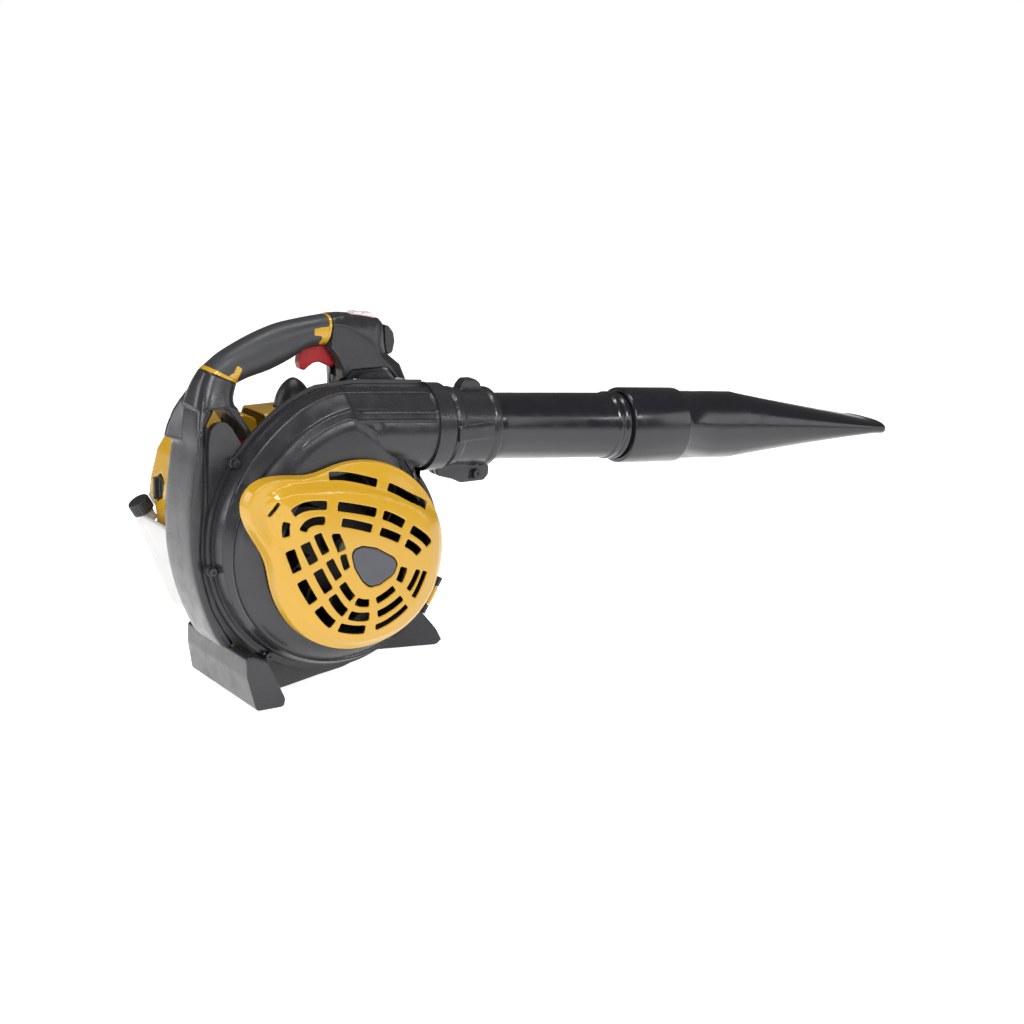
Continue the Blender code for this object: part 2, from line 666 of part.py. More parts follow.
STRAP = [(-19, 58.6), (-28, 73), (-39.4, 101), (-46.2, 128), (-49, 155), (-49.2, 182), (-46, 219), (-40.5, 252), (-46.4, 265),
         (-40.5, 280), (-35.5, 293), (-28.5, 312), (-17, 338), (17, 321), (11, 308), (12, 295), (18, 283), (27, 267), (21, 262),
         (13, 277), (6, 291), (-5, 297.5), (-17, 295), (-26, 284), (-30, 268), (-30.6, 245), (-31.6, 212), (-35, 180),
         (-37, 153), (-34.4, 128), (-26, 100), (-14.5, 76), (-6, 58.6)]
HEAD = [(121.5, 381.9), (150, 380), (176, 374), (180.5, 368), (182, 350), (183.5, 338), (200, 323), (209, 301), (134, 301),
        (128.6, 303), (127.2, 327), (122, 338), (114.6, 347.5)]
HEAD_HOLLOW = [(130, 367), (160, 366), (172, 362), (176, 345), (178, 330), (196, 305), (138, 305), (134, 328), (131, 345)]


def neck_w(z):
    t = min(max((z - 262) / (338 - 262), 0), 1)
    return STRAP_W + (19 - STRAP_W) * (t * t * (3 - 2 * t))


def half_frame(name):
    """The left half of the frame: strap and neck, core of the grip, and the control head."""
    ob = outline(name, STRAP, -STRAP_W, -GAP / 2, HOUSING)
    for v in ob.data.vertices:
        if v.co.y < -0.01:
            v.co.y = -neck_w(v.co.z / MM) * MM
    top, bot = core_pts(4.0)
    top = [(top[0][0] - 4, top[0][1] - 6)] + top + [(top[-1][0] + 6, top[-1][1] - 0.4)]
    bot = [(bot[0][0] - 7, bot[0][1] - 5)] + bot + [(bot[-1][0] + 8, bot[-1][1] + 1)]
    union(ob, outline(name + "_core", top + list(reversed(bot)), -CORE_W, -GAP / 2))
    union(ob, outline(name + "_head", HEAD, -20, -GAP / 2))
    pocket = outline(name + "_pocket", inset(STRAP, 3.0), -STRAP_W + 3, 5)
    for v in pocket.data.vertices:
        if v.co.y < -0.01:
            v.co.y = -(neck_w(v.co.z / MM) - 3) * MM
    cut(ob, pocket, outline(name + "_hollow", HEAD_HOLLOW, -17, 5),
        cyl(name + "_duct_room", DUCT_R + 8.5, tube_at(60), AX, 170, steps=28),
        scroll_solid(name + "_scroll_room", -2.0),
        box(name + "_trigger_slot", (84, -6.8, 318), (136, 6.8, 361)),
        box(name + "_switch_seat", (144, -9, 373.4), (184, 9, 395)),
        box(name + "_cruise_room", (182.6, -8.4, 330), (215, 8.4, 380)),
        cyl(name + "_trigger_pin", 2.2, P(128, -30, 348), (0, 1, 0), 60, steps=12))
    ob = as_mesh(ob)
    return ob


left = half_frame("handle_frame_left")
mirrored(left, "handle_frame_right", HOUSING)
for n in ("handle_frame_left", "handle_frame_right"):
    smooth(bpy.data.objects[n])

def sleeve(name, stations, half_w, fill, mat, power=2.5, n=24):
    """A band around the core: (outer, inner) points per station, and the core's clearance inside it."""
    outs, ins = [], []
    for (o, i), w in zip(stations, half_w):
        o, i = Vector(o), Vector(i)
        c, d = (o + i) / 2, (o - i) / 2
        h = d.length
        d.normalize()
        ro, ri = [], []
        for k in range(n):
            a = 2 * math.pi * (k + 0.5) / n
            ca, sa = math.cos(a), math.sin(a)
            s = (abs(ca) ** power + abs(sa) ** power) ** (-1 / power)
            q = c + d * (h * sa * s)
            ro.append(P(q.x, w * ca * s, q.y))
            hh, ww = h - 4.0 + fill, CORE_W + fill
            s = min(ww / max(abs(ca), 1e-9), hh / max(abs(sa), 1e-9))
            ri.append((ca * s, sa * s))
        for cx_, cy_ in ((ww, hh), (-ww, hh), (ww, -hh), (-ww, -hh)):
            k = min(range(n), key=lambda i: (ri[i][0] - cx_) ** 2 + (ri[i][1] - cy_) ** 2)
            ri[k] = (cx_, cy_)
        ri = [P((c + d * v).x, u, (c + d * v).y) for u, v in ri]
        outs.append(ro)
        ins.append(ri)
    return smooth(loft(name, outs + list(reversed(ins)), mat, wrap=True), 50)


def lerp2(a, b, t):
    return tuple(tuple(Vector(p).lerp(Vector(q), t)) for p, q in zip(a, b))


r0, r1 = lerp2(GRIP[0], GRIP[1], 0.03), lerp2(GRIP[0], GRIP[1], 0.17)
g0 = lerp2(GRIP[0], GRIP[1], 0.20)
g1, f0, f1 = lerp2(GRIP[4], GRIP[5], 0.86), lerp2(GRIP[4], GRIP[5], 0.88), lerp2(GRIP[4], GRIP[5], 0.985)
grip = sleeve("handle_grip", [g0, GRIP[1], GRIP[2], GRIP[3], GRIP[4], g1], [18.2, 18.6, 19.2, 19.0, 18.2, 18.0], 0.45, RUBBER)
cut(grip, box("grip_trigger_slot", (84, -7.2, 318), (136, 7.2, 362)))
sleeve("accent_ring_rear", [r0, r1], [18.9, 18.9], 0.45, YELLOW)
fr = sleeve("accent_ring_front", [f0, f1], [18.8, 18.8], 0.45, YELLOW)
cut(fr, box("ring_trigger_slot", (84, -7.2, 318), (136, 7.2, 362)))

# trigger on its pin
TRIG = [(88.6, 349.5), (86.6, 335), (88.6, 328), (92.4, 326.8), (96.4, 330), (102, 333.4), (108, 334.2), (114, 332), (120, 328.4),
        (125, 328), (130, 340), (133, 347), (132.5, 353), (128, 355), (110, 352.6)]
trig = outline("trigger", TRIG, -6, 6, RED)
cut(trig, cyl("trigger_bore", 2.3, P(128, -20, 348), (0, 1, 0), 40, steps=12))
trig = as_mesh(trig)
origin_at(trig, P(128, 0, 348))
cyl("trigger_pin", 1.9, P(128, -16, 348), (0, 1, 0), 32, STEEL, steps=12)

# stop switch in its seat, cruise lever ahead of it
sw = outline("kill_switch", [(147.5, 373.8), (172.5, 373.8), (172.5, 377.2), (170.5, 379.2), (161.5, 380.4), (157, 381.2), (149, 382.2), (147.5, 379.4)], -8, 8, RED)
CRUISE = [(183.3, 366), (189, 365), (194, 357), (195, 348), (192, 336), (187, 334.5), (184.4, 340), (183.4, 352)]
cr = outline("cruise_lever", CRUISE, -7.8, 7.8, BLACK)
origin_at(cr, P(188, 0, 340))

# feet
FOOT = [(-1, 0), (29, 0), (31, 8), (12, 51), (-3, 58), (-11, 57.5), (-10, 35)]
rf = outline("rear_foot", FOOT, -74, 76, HOUSING)
cut(rf, outline("rear_foot_hollow", [(5, 5), (50, 5), (50, 24), (8, 47), (-3, 51)], -70.5, 72.5))
TOE = [(168, 0), (262, 0), (268, 5), (262, 18), (250, 34), (241, 45), (226, 46), (213, 39.4), (168, 39.4)]
ff = outline("front_foot", TOE, 12, 95, HOUSING)
cut(ff, outline("front_foot_hollow", [(173, 5), (254, 5), (238, 38), (222, 42), (212, 60), (173, 60)], 50, 91))
nb = outline("front_foot_side", [(100, -30), (300, -30), (300, 90), (100, 90)], -60, 20)
for v in nb.data.vertices:
    if v.co.y > 0:
        v.co.y += max(0, (262 - (v.co.x / MM + FOOT_X)) * 0.32) * MM
cut(ff, nb)
bp = outline("base_plate", [(20, 40), (209, 40), (209, 46), (20, 46)], 5, 95, HOUSING)
for k, x in enumerate((84, 134)):
    ring(f"isolator_{'rear' if k == 0 else 'front'}", 3, 10, P(x, ENG_Y, 46.3), (0, 0, 1), 17, RUBBER, steps=16)
ring("isolator_top", 3, 8.5, P(167, 10, 282.3), (0, 0, 1), 18.3, RUBBER, steps=16)

# ---------------------------------------------------------------- engine
# crankcase in two castings, split on the cylinder's plane, with bearing seats and a pedestal on the isolators
def crank_half(name, side):
    case = [(CX + 36 * math.cos(math.radians(a)), CZ + 36 * math.sin(math.radians(a))) for a in range(180 + 25, 360 - 24, 10)]
    case = case + [(CX + 34, 190), (CX - 34, 190)]
    y0, y1 = (ENG_Y - 26, ENG_Y - GAP / 2) if side < 0 else (ENG_Y + GAP / 2, ENG_Y + 26)
    ob = outline(name, case, y0, y1, ALU)
    union(ob, box(name + "_foot", (CX - 36, y0, 63.6), (CX + 36, y1, 72)))
    union(ob, box(name + "_post", (CX - 16, y0, 70), (CX + 16, y1, 130)))
    if side < 0:
        union(ob, box(name + "_arm", (CX - 58, y0, CZ - 8), (CX + 60, y0 + 7, CZ + 8)))
        union(ob, box(name + "_arm2", (CX + 40, y0, CZ - 28), (CX + 60, y0 + 7, CZ + 2)))
    cut(ob, cyl(name + "_cavity", 27, P(CX, ENG_Y - 18, CZ), (0, 1, 0), 36, steps=24),
        cyl(name + "_seat", 15, P(CX, ENG_Y - 40, CZ), (0, 1, 0), 80, steps=24),
        cyl(name + "_throat", 19.2, P(CX, ENG_Y, CZ), (0, 0, 1), 60, steps=24))
    return smooth(ob)


crank_half("crankcase_fan_side", -1)
crank_half("crankcase_starter_side", 1)
ring("bearing_fan_side", 7.9, 14.7, P(CX, ENG_Y - 25.5, CZ), (0, 1, 0), 7, STEEL, steps=20)
ring("bearing_starter_side", 7.9, 14.7, P(CX, ENG_Y + 18.5, CZ), (0, 1, 0), 7, STEEL, steps=20)

shaft = cyl("crankshaft", 7.5, P(CX, -58, CZ), (0, 1, 0), ENG_Y - 15 + 58, STEEL, steps=16)
union(shaft, cyl("shaft_tail", 7.5, P(CX, ENG_Y + 10, CZ), (0, 1, 0), 27, steps=16))
union(shaft, cyl("web_a", 24, P(CX, ENG_Y - 15.5, CZ), (0, 1, 0), 9, steps=24))
union(shaft, cyl("web_b", 24, P(CX, ENG_Y + 6.5, CZ), (0, 1, 0), 9, steps=24))
union(shaft, cyl("crank_pin", 6, P(CX, ENG_Y - 8, CZ + STROKE / 2), (0, 1, 0), 16, steps=14))

fly = lathe("flywheel", [(40, 10), (40, 0), (12, 0), (12, -2), (7.8, -2), (7.8, 12), (14, 12), (16, 7), (34, 7), (36, 10)],
            P(CX, -1, CZ), (0, 1, 0), 24, ALU, True)
fan = lathe("impeller", [(86, 4), (86, 1.6), (30, 0), (13, 0), (11, -28), (7.8, -28), (7.8, 8), (14, 8), (16, 4)],
            P(CX, -26, CZ), (0, 1, 0), 24, BLACK, True)
bl = bmesh.new()
for k in range(12):
    a0 = 2 * math.pi * k / 12
    l, r = [], []
    for j in range(4):
        rad = 46 + (85 - 46) * j / 3
        a = a0 + 0.42 * (j / 3) ** 1.3
        c = Vector((CX + rad * math.cos(a), CZ + rad * math.sin(a)))
        nrm = Vector((-math.sin(a - 0.5), math.cos(a - 0.5))) * 1.1
        l.append(tuple(c + nrm))
        r.append(tuple(c - nrm))
    b = outline(f"blade_{k}", l + list(reversed(r)), -70, -23.5, coll=CUTTERS)
    bl.from_mesh(b.data)
    bpy.data.objects.remove(b, do_unlink=True)
union(fan, from_bmesh("fan_blades", bl, None, CUTTERS))

# finned cylinder with its head, bored from below and for the plug
fins = [(0, 262)]
z = 262.0
fins = [(5.3, 262), (30, 262)]
for k in range(6):
    zt_ = 260 - k * 10.4
    fins += [(31.5, zt_), (31.5, zt_ - 3), (24, zt_ - 3.4), (24, zt_ - 8.6)]
fins += [(26, 197.6), (26, 190.3), (BORE_R, 190.3), (BORE_R, 254), (5.3, 254)]
cyl_ob = lathe("cylinder", [(r, h) for r, h in fins], P(CX, ENG_Y, 0), (0, 0, 1), 18, ALU, True)
lathe("piston", [(0, 248), (17.9, 247.4), (17.9, 222), (15.4, 222), (15.4, 243), (0, 243)], P(CX, ENG_Y, 0), (0, 0, 1), 18, ALU)
rod = outline("piston_rod", [(CX - 5, 242.6), (CX + 5, 242.6), (CX + 4, 204), (CX - 4, 204)], ENG_Y - 4, ENG_Y + 4, STEEL)
lathe("spark_plug", [(0, 285), (3.2, 285), (3.2, 280), (5, 279), (5, 268), (8, 268), (8, 263), (5.0, 262.4), (5.0, 255), (0, 255)],
      P(CX, ENG_Y, 0), (0, 0, 1), 14, STEEL)
# rounded cap over the plug
dome = [(0, 306), (7, 305), (13, 301), (17.5, 294), (19.6, 284), (20, 268), (17.4, 268), (17, 283), (15, 293), (11, 299), (6, 302.4),
        (0, 303.4)]
lathe("spark_plug_cap", dome, P(CX, ENG_Y, 0), (0, 0, 1), 16, BLACK)

# ignition coil beside the flywheel and the lead up to the cap
box("ignition_coil", (140, -1, 186), (164, 18, 208), BLACK, 1.5)
tube("ignition_lead", [(152, 12, 208.4), (151, 13, 222), (149, 14, 244), (145, 14.5, 268), (140, 16, 285), (134, 24, 293.5), (128, 36, 296),
                        (123.5, 44.5, 296)], 2.6, BLACK)

# cooling cowl over the cylinder: a bent cover, open at both ends
cowl_o = [(22, 204), (22, 266), (32, 279), (86, 279), (95, 266), (95, 204)]
inner_ = [(24.5, 204), (24.5, 265), (33, 276.5), (85, 276.5), (92.5, 265), (92.5, 204)]
loop = cowl_o + list(reversed(inner_))
bm = bmesh.new()
a = [bm.verts.new(P(64, y, z)) for y, z in loop]
b = [bm.verts.new(P(146, y, z)) for y, z in loop]
for k in range(len(loop)):
    j = (k + 1) % len(loop)
    bm.faces.new((a[k], a[j], b[j], b[k]))
m = len(cowl_o)
for s, fl in ((a, False), (b, True)):
    for k in range(m - 1):
        q = (s[k], s[k + 1], s[len(loop) - 2 - k], s[len(loop) - 1 - k])
        bm.faces.new(q if fl else tuple(reversed(q)))
cowl = from_bmesh("engine_cowl", bm, YELLOW)
cut(cowl, cyl("cap_room", 21, P(CX, ENG_Y, 270), (0, 0, 1), 40, steps=24))
cut(cowl, box("lead_room", (128, 14, 262), (150, 40, 296)))

# muffler ahead of the cylinder, behind its guard
mu = box("muffler", (147, 34, 200), (184, 84, 262), STEEL, 4)
cut(mu, box("muffler_room", (148.6, 35.6, 201.6), (182.4, 82.4, 260.4)), cyl("exhaust_port", 9, P(130, ENG_Y, 232), (1, 0, 0), 24, steps=14),
    cyl("tailpipe", 6, P(165, 70, 210), (1, 0, 0), 30, steps=12))
mg = box("muffler_guard", (150, 28, 194), (196, 90, 268), BLACK, 3)
cut(mg, box("guard_room", (100, 31, 197), (192.5, 87, 265)))
cut(mg, box("guard_slots", (185, 40, 205), (205, 46, 255)), box("guard_slots2", (185, 52, 205), (205, 58, 255)),
    box("guard_slots3", (185, 64, 205), (205, 70, 255)), box("guard_slots4", (185, 76, 205), (205, 82, 255)))
cut(mg, box("guard_lead", (140, 20, 190), (158, 33, 275)))

# carburettor, filter and its yellow cover
carb = box("carburettor", (50, 44, 202), (76, 74, 232), ALU, 1.5)
cut(carb, cyl("carb_bore", 8, P(20, ENG_Y, 217), (1, 0, 0), 80, steps=16),
    cyl("primer_pocket", 10, P(63, 40, 217), (0, 1, 0), 8.7, steps=16))
lev = outline("throttle_lever", [(63, 233), (66, 241), (71, 241), (76, 233), (73, 232.6), (66, 232.6)], 44.5, 47.9, STEEL)
origin_at(lev, P(70, 46, 236))
ex = box("air_filter", (6, 50, 190), (34, 104, 246), FOAM, 4)
COVER = [(-33, 155), (-32, 180), (-28.6, 204), (-21, 238), (-8, 262), (4, 278), (46, 281), (58, 274), (60, 260), (60, 240), (40, 176),
         (-8, 172), (-28, 155)]
cover = outline("air_filter_cover", COVER, 39, 120, YELLOW)
be = cover.modifiers.new("edge", 'BEVEL')
be.width = 5 * MM
be.segments = 2
be.limit_method = 'ANGLE'
be.angle_limit = math.radians(60)
cut(cover, outline("cover_room", [(-24, 177), (-16, 233), (-3, 257), (9, 273), (46, 276), (54, 270), (90, 240), (90, 181)], 43, 116))

def hex_pts(cy, cz, r, squash=1.0):
    return [(cy + r * math.cos(math.radians(60 * k + 30)) * squash, cz + r * math.sin(math.radians(60 * k + 30))) for k in range(6)]


def along_x(name, yz, x0, x1, mat=None, coll=None):
    """A flat outline in the YZ plane, extruded along X."""
    bm = bmesh.new()
    a = [bm.verts.new(P(x0, y, z)) for y, z in yz]
    b = [bm.verts.new(P(x1, y, z)) for y, z in yz]
    for k in range(len(yz)):
        j = (k + 1) % len(yz)
        bm.faces.new((a[k], a[j], b[j], b[k]))
    bm.faces.new(list(reversed(a)))
    bm.faces.new(b)
    return from_bmesh(name, bm, mat, coll)


cut(cover, along_x("cover_window", hex_pts(97, 199, 15), -60, -10))
cut(cover, cyl("cap_room_side", 15.8, P(-27, 112, 151.2), (-0.5, 0, 0.866), 60, steps=20))
knob = along_x("filter_cover_knob", hex_pts(97, 199, 12.4), -34, -20, BLACK)
cut(knob, along_x("knob_grip_a", [(85, 183), (94, 183), (94, 215), (85, 215)], -60, -28),
    along_x("knob_grip_b", [(100, 183), (109, 183), (109, 215), (100, 215)], -60, -28))
ch = outline("choke_lever", [(41, 243), (46, 243), (48, 248), (45, 252), (33, 263), (28, 264), (28, 259), (39, 248)], 30, 38.6, RED)
origin_at(ch, P(43.5, 34, 247.5))

# fuel tank with its neck and cap, and the line to the carburettor
TANKP = [(-7, 66), (-18, 94), (-32, 130), (-44, 160), (-46, 170), (-40, 170), (-34.5, 152), (50, 152), (58, 146), (58, 72),
         (50, 62), (0, 62)]
tank = outline("fuel_tank", TANKP, 40, 126, TANK)
bt = tank.modifiers.new("edge", 'BEVEL')
bt.width = 3 * MM
bt.segments = 2
bt.limit_method = 'ANGLE'
bt.angle_limit = math.radians(60)
NECK = P(-37, 112, 168.5)
ND = Vector((-0.5, 0, 0.866)).normalized()
union(tank, cyl("neck", 8.8, NECK - ND * 0.008, ND, 17, steps=20))
cut(tank, outline("tank_room", inset(TANKP, 2.6), 42.8, 123.2), cyl("neck_bore", 6.2, NECK - ND * 0.010, ND, 30, steps=16))
lathe("fuel_cap", [(0, 15), (11.6, 15), (13.4, 13), (13.4, 0), (9.4, 0), (9.4, 11.5), (0, 11.5)], NECK + ND * 0.0052, ND, 20, BLACK)
tube("fuel_line", [(44, 56, 152.4), (45, 56, 158), (52, 57, 168), (62, 58, 182), (64, 59, 194), (64, 60, 201.6)], 2.4, RUBBER)
pb = lathe("primer_bulb", [(0, 13), (5, 12), (8.5, 8), (9.5, 3), (9.5, 0), (0, 0)], P(63, 43.7, 217), (0, -1, 0), 16, CLEAR)

# throttle cable from the head to the carburettor's lever
tube("throttle_cable", [(140, 12, 300.6), (138, 12, 294), (122, 12, 284), (98, 12, 268), (78, 13, 254), (64, 15, 248), (59, 22, 244.5),
                        (61, 32, 241.5), (64.5, 39, 240), (66.4, 41.9, 239.8)],
     2.0, BLACK)

# ---------------------------------------------------------------- recoil starter
ST_Y0, ST_Y1 = ENG_Y + 27, ENG_Y + 66
PULL = Vector((math.cos(math.radians(50)), 0, math.sin(math.radians(50))))
PN = Vector((-PULL.z, 0, PULL.x))
ROPE_R = 20.0
ROPE_Y = ENG_Y + 50
start = P(CX, ROPE_Y, CZ) + PN * ROPE_R * MM
sh = lathe("starter_housing", [(0, 39), (40, 39), (46, 34), (46, 0), (43.2, 0), (43.2, 33), (39, 36.2), (5, 36.2), (5, 12), (0, 12)],
           P(CX, ST_Y0, CZ), (0, 1, 0), 24, HOUSING)
for k in range(8):
    a = math.radians(45 * k + 10)
    c = Vector((math.cos(a), math.sin(a)))
    t_ = Vector((-c.y, c.x))
    pts = [tuple(Vector((CX, CZ)) + c * r + t_ * w) for r, w in ((14, -2), (34, -4), (34, 4), (14, 2))]
    cut(sh, outline(f"vent_{k}", pts, ST_Y1 - 10, ST_Y1 + 20))
cut(sh, cyl("rope_exit", 4.0, start + PULL * 0.020, PULL, 60, steps=14))
lathe("starter_pulley", [(25, 7.5), (25, 5.2), (18, 4.6), (18, 0.6), (25, 0), (25, -2.5), (5.4, -2.5), (5.4, 7.5)],
      P(CX, ROPE_Y - 2.6, CZ), (0, 1, 0), 20, BLACK, True)
cyl("starter_rope", 1.4, start + PULL * 0.003, PULL, 49.4, RUBBER, steps=8)
hd = start + PULL * 0.0605
th = lathe("starter_handle", [(0, 30), (4.5, 29.5), (7, 26), (8, 10), (8, -10), (7, -26), (4.5, -29.5), (0, -30)], hd, PN, 18, BLACK)
union(th, cyl("rope_socket", 4.4, start + PULL * 0.0525, PULL, 8, steps=14))
for ob in PARTS.objects:
    if ob.type == 'MESH' and not any(p.use_smooth for p in ob.data.polygons):
        smooth(ob)
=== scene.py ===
# Looks of a hand-held petrol leaf blower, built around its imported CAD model.
# Lengths in the code are millimetres in the machine's own side view: x from the rear
# foot's back edge, y across, z up.  P() turns them into the row's metres.
import bpy
import bmesh
import json
import math
import numpy as np
from mathutils import Vector, Matrix


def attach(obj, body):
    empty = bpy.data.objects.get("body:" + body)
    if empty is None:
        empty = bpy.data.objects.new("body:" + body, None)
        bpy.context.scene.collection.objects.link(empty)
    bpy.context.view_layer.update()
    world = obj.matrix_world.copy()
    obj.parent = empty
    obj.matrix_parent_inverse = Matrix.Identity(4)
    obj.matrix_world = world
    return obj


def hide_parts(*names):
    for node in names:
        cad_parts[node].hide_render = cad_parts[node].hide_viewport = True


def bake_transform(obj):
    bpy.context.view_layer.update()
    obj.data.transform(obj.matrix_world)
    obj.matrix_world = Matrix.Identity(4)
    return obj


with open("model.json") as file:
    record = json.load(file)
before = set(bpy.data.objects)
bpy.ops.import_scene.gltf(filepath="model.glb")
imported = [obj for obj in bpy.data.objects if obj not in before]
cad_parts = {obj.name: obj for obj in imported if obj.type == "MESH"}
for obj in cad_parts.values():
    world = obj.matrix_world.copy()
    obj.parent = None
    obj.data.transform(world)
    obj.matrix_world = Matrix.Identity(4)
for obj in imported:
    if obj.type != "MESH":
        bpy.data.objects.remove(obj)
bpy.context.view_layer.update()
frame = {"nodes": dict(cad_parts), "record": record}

NODES = frame["nodes"]
MM = 0.001
FOOT_X = 16.0
CX, CZ = 109.0, 151.0
PART_Y, FRONT_Y, BACK_Y = -40.0, -82.0, -4.0
WALL = 2.6
INLET_R = 84.0
TONGUE = 38.7
SLOPE = -0.101
DUCT_R, TUBE_R = 43.0, 35.0
ENG_Y = 58.0
STRAP_W = 35.0
CORE_W = 11.0
GX = CX - 3.5

# ---------------------------------------------------------------- camera
cam = bpy.data.objects.new("camera", bpy.data.cameras.new("camera"))
bpy.context.scene.collection.objects.link(cam)
cam.location = (-0.873, -1.993, 0.726)
cam.rotation_euler = (math.radians(76), 0, math.radians(-31))
cam.data.sensor_width = 36
cam.data.lens = 77.34
bpy.context.scene.camera = cam
bpy.context.scene.view_settings.view_transform = 'Standard'


# ---------------------------------------------------------------- mesh tools
def P(x, y, z):
    return Vector(((x - FOOT_X) * MM, y * MM, z * MM))


def axis_z(x):
    return 253.7 + SLOPE * (x - 301.6)


AX = Vector((1.0, 0.0, SLOPE)).normalized()
UP = Vector((-AX.z, 0, AX.x))


def on_line(s):
    """A point on the blowing line, s millimetres beyond x = 226."""
    return P(226, PART_Y, axis_z(226)) + AX * s * MM


def tube_at(x):
    return P(x, PART_Y, axis_z(x))


def add(name, bm, mat=None, fix=True):
    if fix:
        bmesh.ops.recalc_face_normals(bm, faces=bm.faces)
        if bm.calc_volume(signed=True) < 0:
            bmesh.ops.reverse_faces(bm, faces=bm.faces)
    me = bpy.data.meshes.new(name)
    bm.to_mesh(me)
    bm.free()
    ob = bpy.data.objects.new(name, me)
    bpy.context.scene.collection.objects.link(ob)
    if mat:
        me.materials.append(mat)
    return ob


def drop(ob):
    me = ob.data
    bpy.data.objects.remove(ob, do_unlink=True)
    if me.users == 0:
        bpy.data.meshes.remove(me)


def bake(ob):
    """Replaces an object's mesh with its evaluated mesh and clears its modifiers."""
    dg = bpy.context.evaluated_depsgraph_get()
    dg.update()
    me = bpy.data.meshes.new_from_object(ob.evaluated_get(dg))
    old = ob.data
    ob.modifiers.clear()
    ob.data = me
    bpy.data.meshes.remove(old)
    return ob


def shade(ob, angle=40):
    ob.data.shade_smooth()
    ob.data.set_sharp_from_angle(angle=math.radians(angle))
    return ob


def boolean(ob, other, op='DIFFERENCE'):
    m = ob.modifiers.new("b", 'BOOLEAN')
    m.operation = op
    m.object = other
    m.solver = 'MANIFOLD'
    bake(ob)
    drop(other)
    return ob


def cut(ob, *others):
    for o in others:
        boolean(ob, o)
    return ob


def union(ob, *others):
    for o in others:
        boolean(ob, o, 'UNION')
    return ob


def fillet(pts, r, n=5, closed=True):
    """Rounds each corner of a 2D line with radius r (or one radius per corner)."""
    out = []
    m = len(pts)
    for i in range(m):
        p = Vector(pts[i])
        rr = r[i] if isinstance(r, (list, tuple)) else r
        if not closed and i in (0, m - 1) or rr <= 0:
            out.append((p.x, p.y))
            continue
        a, b = Vector(pts[i - 1]) - p, Vector(pts[(i + 1) % m]) - p
        la, lb = a.length, b.length
        a.normalize()
        b.normalize()
        ang = math.acos(max(-1, min(1, a.dot(b))))
        if ang > math.radians(176):
            out.append((p.x, p.y))
            continue
        d = min(rr / math.tan(ang / 2), la * 0.49, lb * 0.49)
        rad = d * math.tan(ang / 2)
        c = p + (a + b).normalized() * (rad / math.sin(ang / 2))
        s, e = p + a * d - c, p + b * d - c
        t0 = math.atan2(s.y, s.x)
        dt = (math.atan2(e.y, e.x) - t0 + math.pi) % (2 * math.pi) - math.pi
        for k in range(n + 1):
            t = t0 + dt * k / n
            out.append((c.x + rad * math.cos(t), c.y + rad * math.sin(t)))
    return out


def spline(pts, n=6, closed=True):
    """A smooth curve through points of any size."""
    m = len(pts)
    out = []
    rng = range(m) if closed else range(m - 1)
    for i in rng:
        if closed:
            a, b, c, d = (np.array(pts[(i + k) % m], float) for k in (-1, 0, 1, 2))
        else:
            b, c = np.array(pts[i], float), np.array(pts[i + 1], float)
            a = np.array(pts[i - 1], float) if i else 2 * b - c
            d = np.array(pts[i + 2], float) if i + 2 < m else 2 * c - b
        for k in range(n):
            u = k / n
            out.append(tuple(0.5 * (2 * b + (c - a) * u + (2 * a - 5 * b + 4 * c - d) * u * u + (3 * b - a - 3 * c + d) * u ** 3)))
    if not closed:
        out.append(tuple(float(v) for v in pts[-1]))
    return out


def prism(name, xz, y0, y1, mat=None):
    """A side-view outline extruded across."""
    bm = bmesh.new()
    a = [bm.verts.new(P(x, y0, z)) for x, z in xz]
    b = [bm.verts.new(P(x, y1, z)) for x, z in xz]
    n = len(xz)
    for k in range(n):
        bm.faces.new((a[k], a[(k + 1) % n], b[(k + 1) % n], b[k]))
    f1 = bm.faces.new(list(reversed(a)))
    f2 = bm.faces.new(b)
    bmesh.ops.triangulate(bm, faces=[f1, f2])
    return add(name, bm, mat)


def yz_prism(name, yz, x0, x1, mat=None):
    bm = bmesh.new()
    a = [bm.verts.new(P(x0, y, z)) for y, z in yz]
    b = [bm.verts.new(P(x1, y, z)) for y, z in yz]
    n = len(yz)
    for k in range(n):
        bm.faces.new((a[k], a[(k + 1) % n], b[(k + 1) % n], b[k]))
    f1 = bm.faces.new(list(reversed(a)))
    f2 = bm.faces.new(b)
    bmesh.ops.triangulate(bm, faces=[f1, f2])
    return add(name, bm, mat)


def block(name, lo, hi, mat=None, bevel=0.0, seg=2):
    bm = bmesh.new()
    bmesh.ops.create_cube(bm, size=1.0)
    for v in bm.verts:
        v.co = P(*[lo[k] + (hi[k] - lo[k]) * (v.co[k] + 0.5) for k in range(3)])
    ob = add(name, bm, mat)
    if bevel:
        edge(ob, bevel, seg)
    return ob


def edge(ob, width, seg=3, angle=30):
    m = ob.modifiers.new("edge", 'BEVEL')
    m.width = width * MM
    m.segments = seg
    m.limit_method = 'ANGLE'
    m.angle_limit = math.radians(angle)
    m.use_clamp_overlap = True
    return bake(ob)


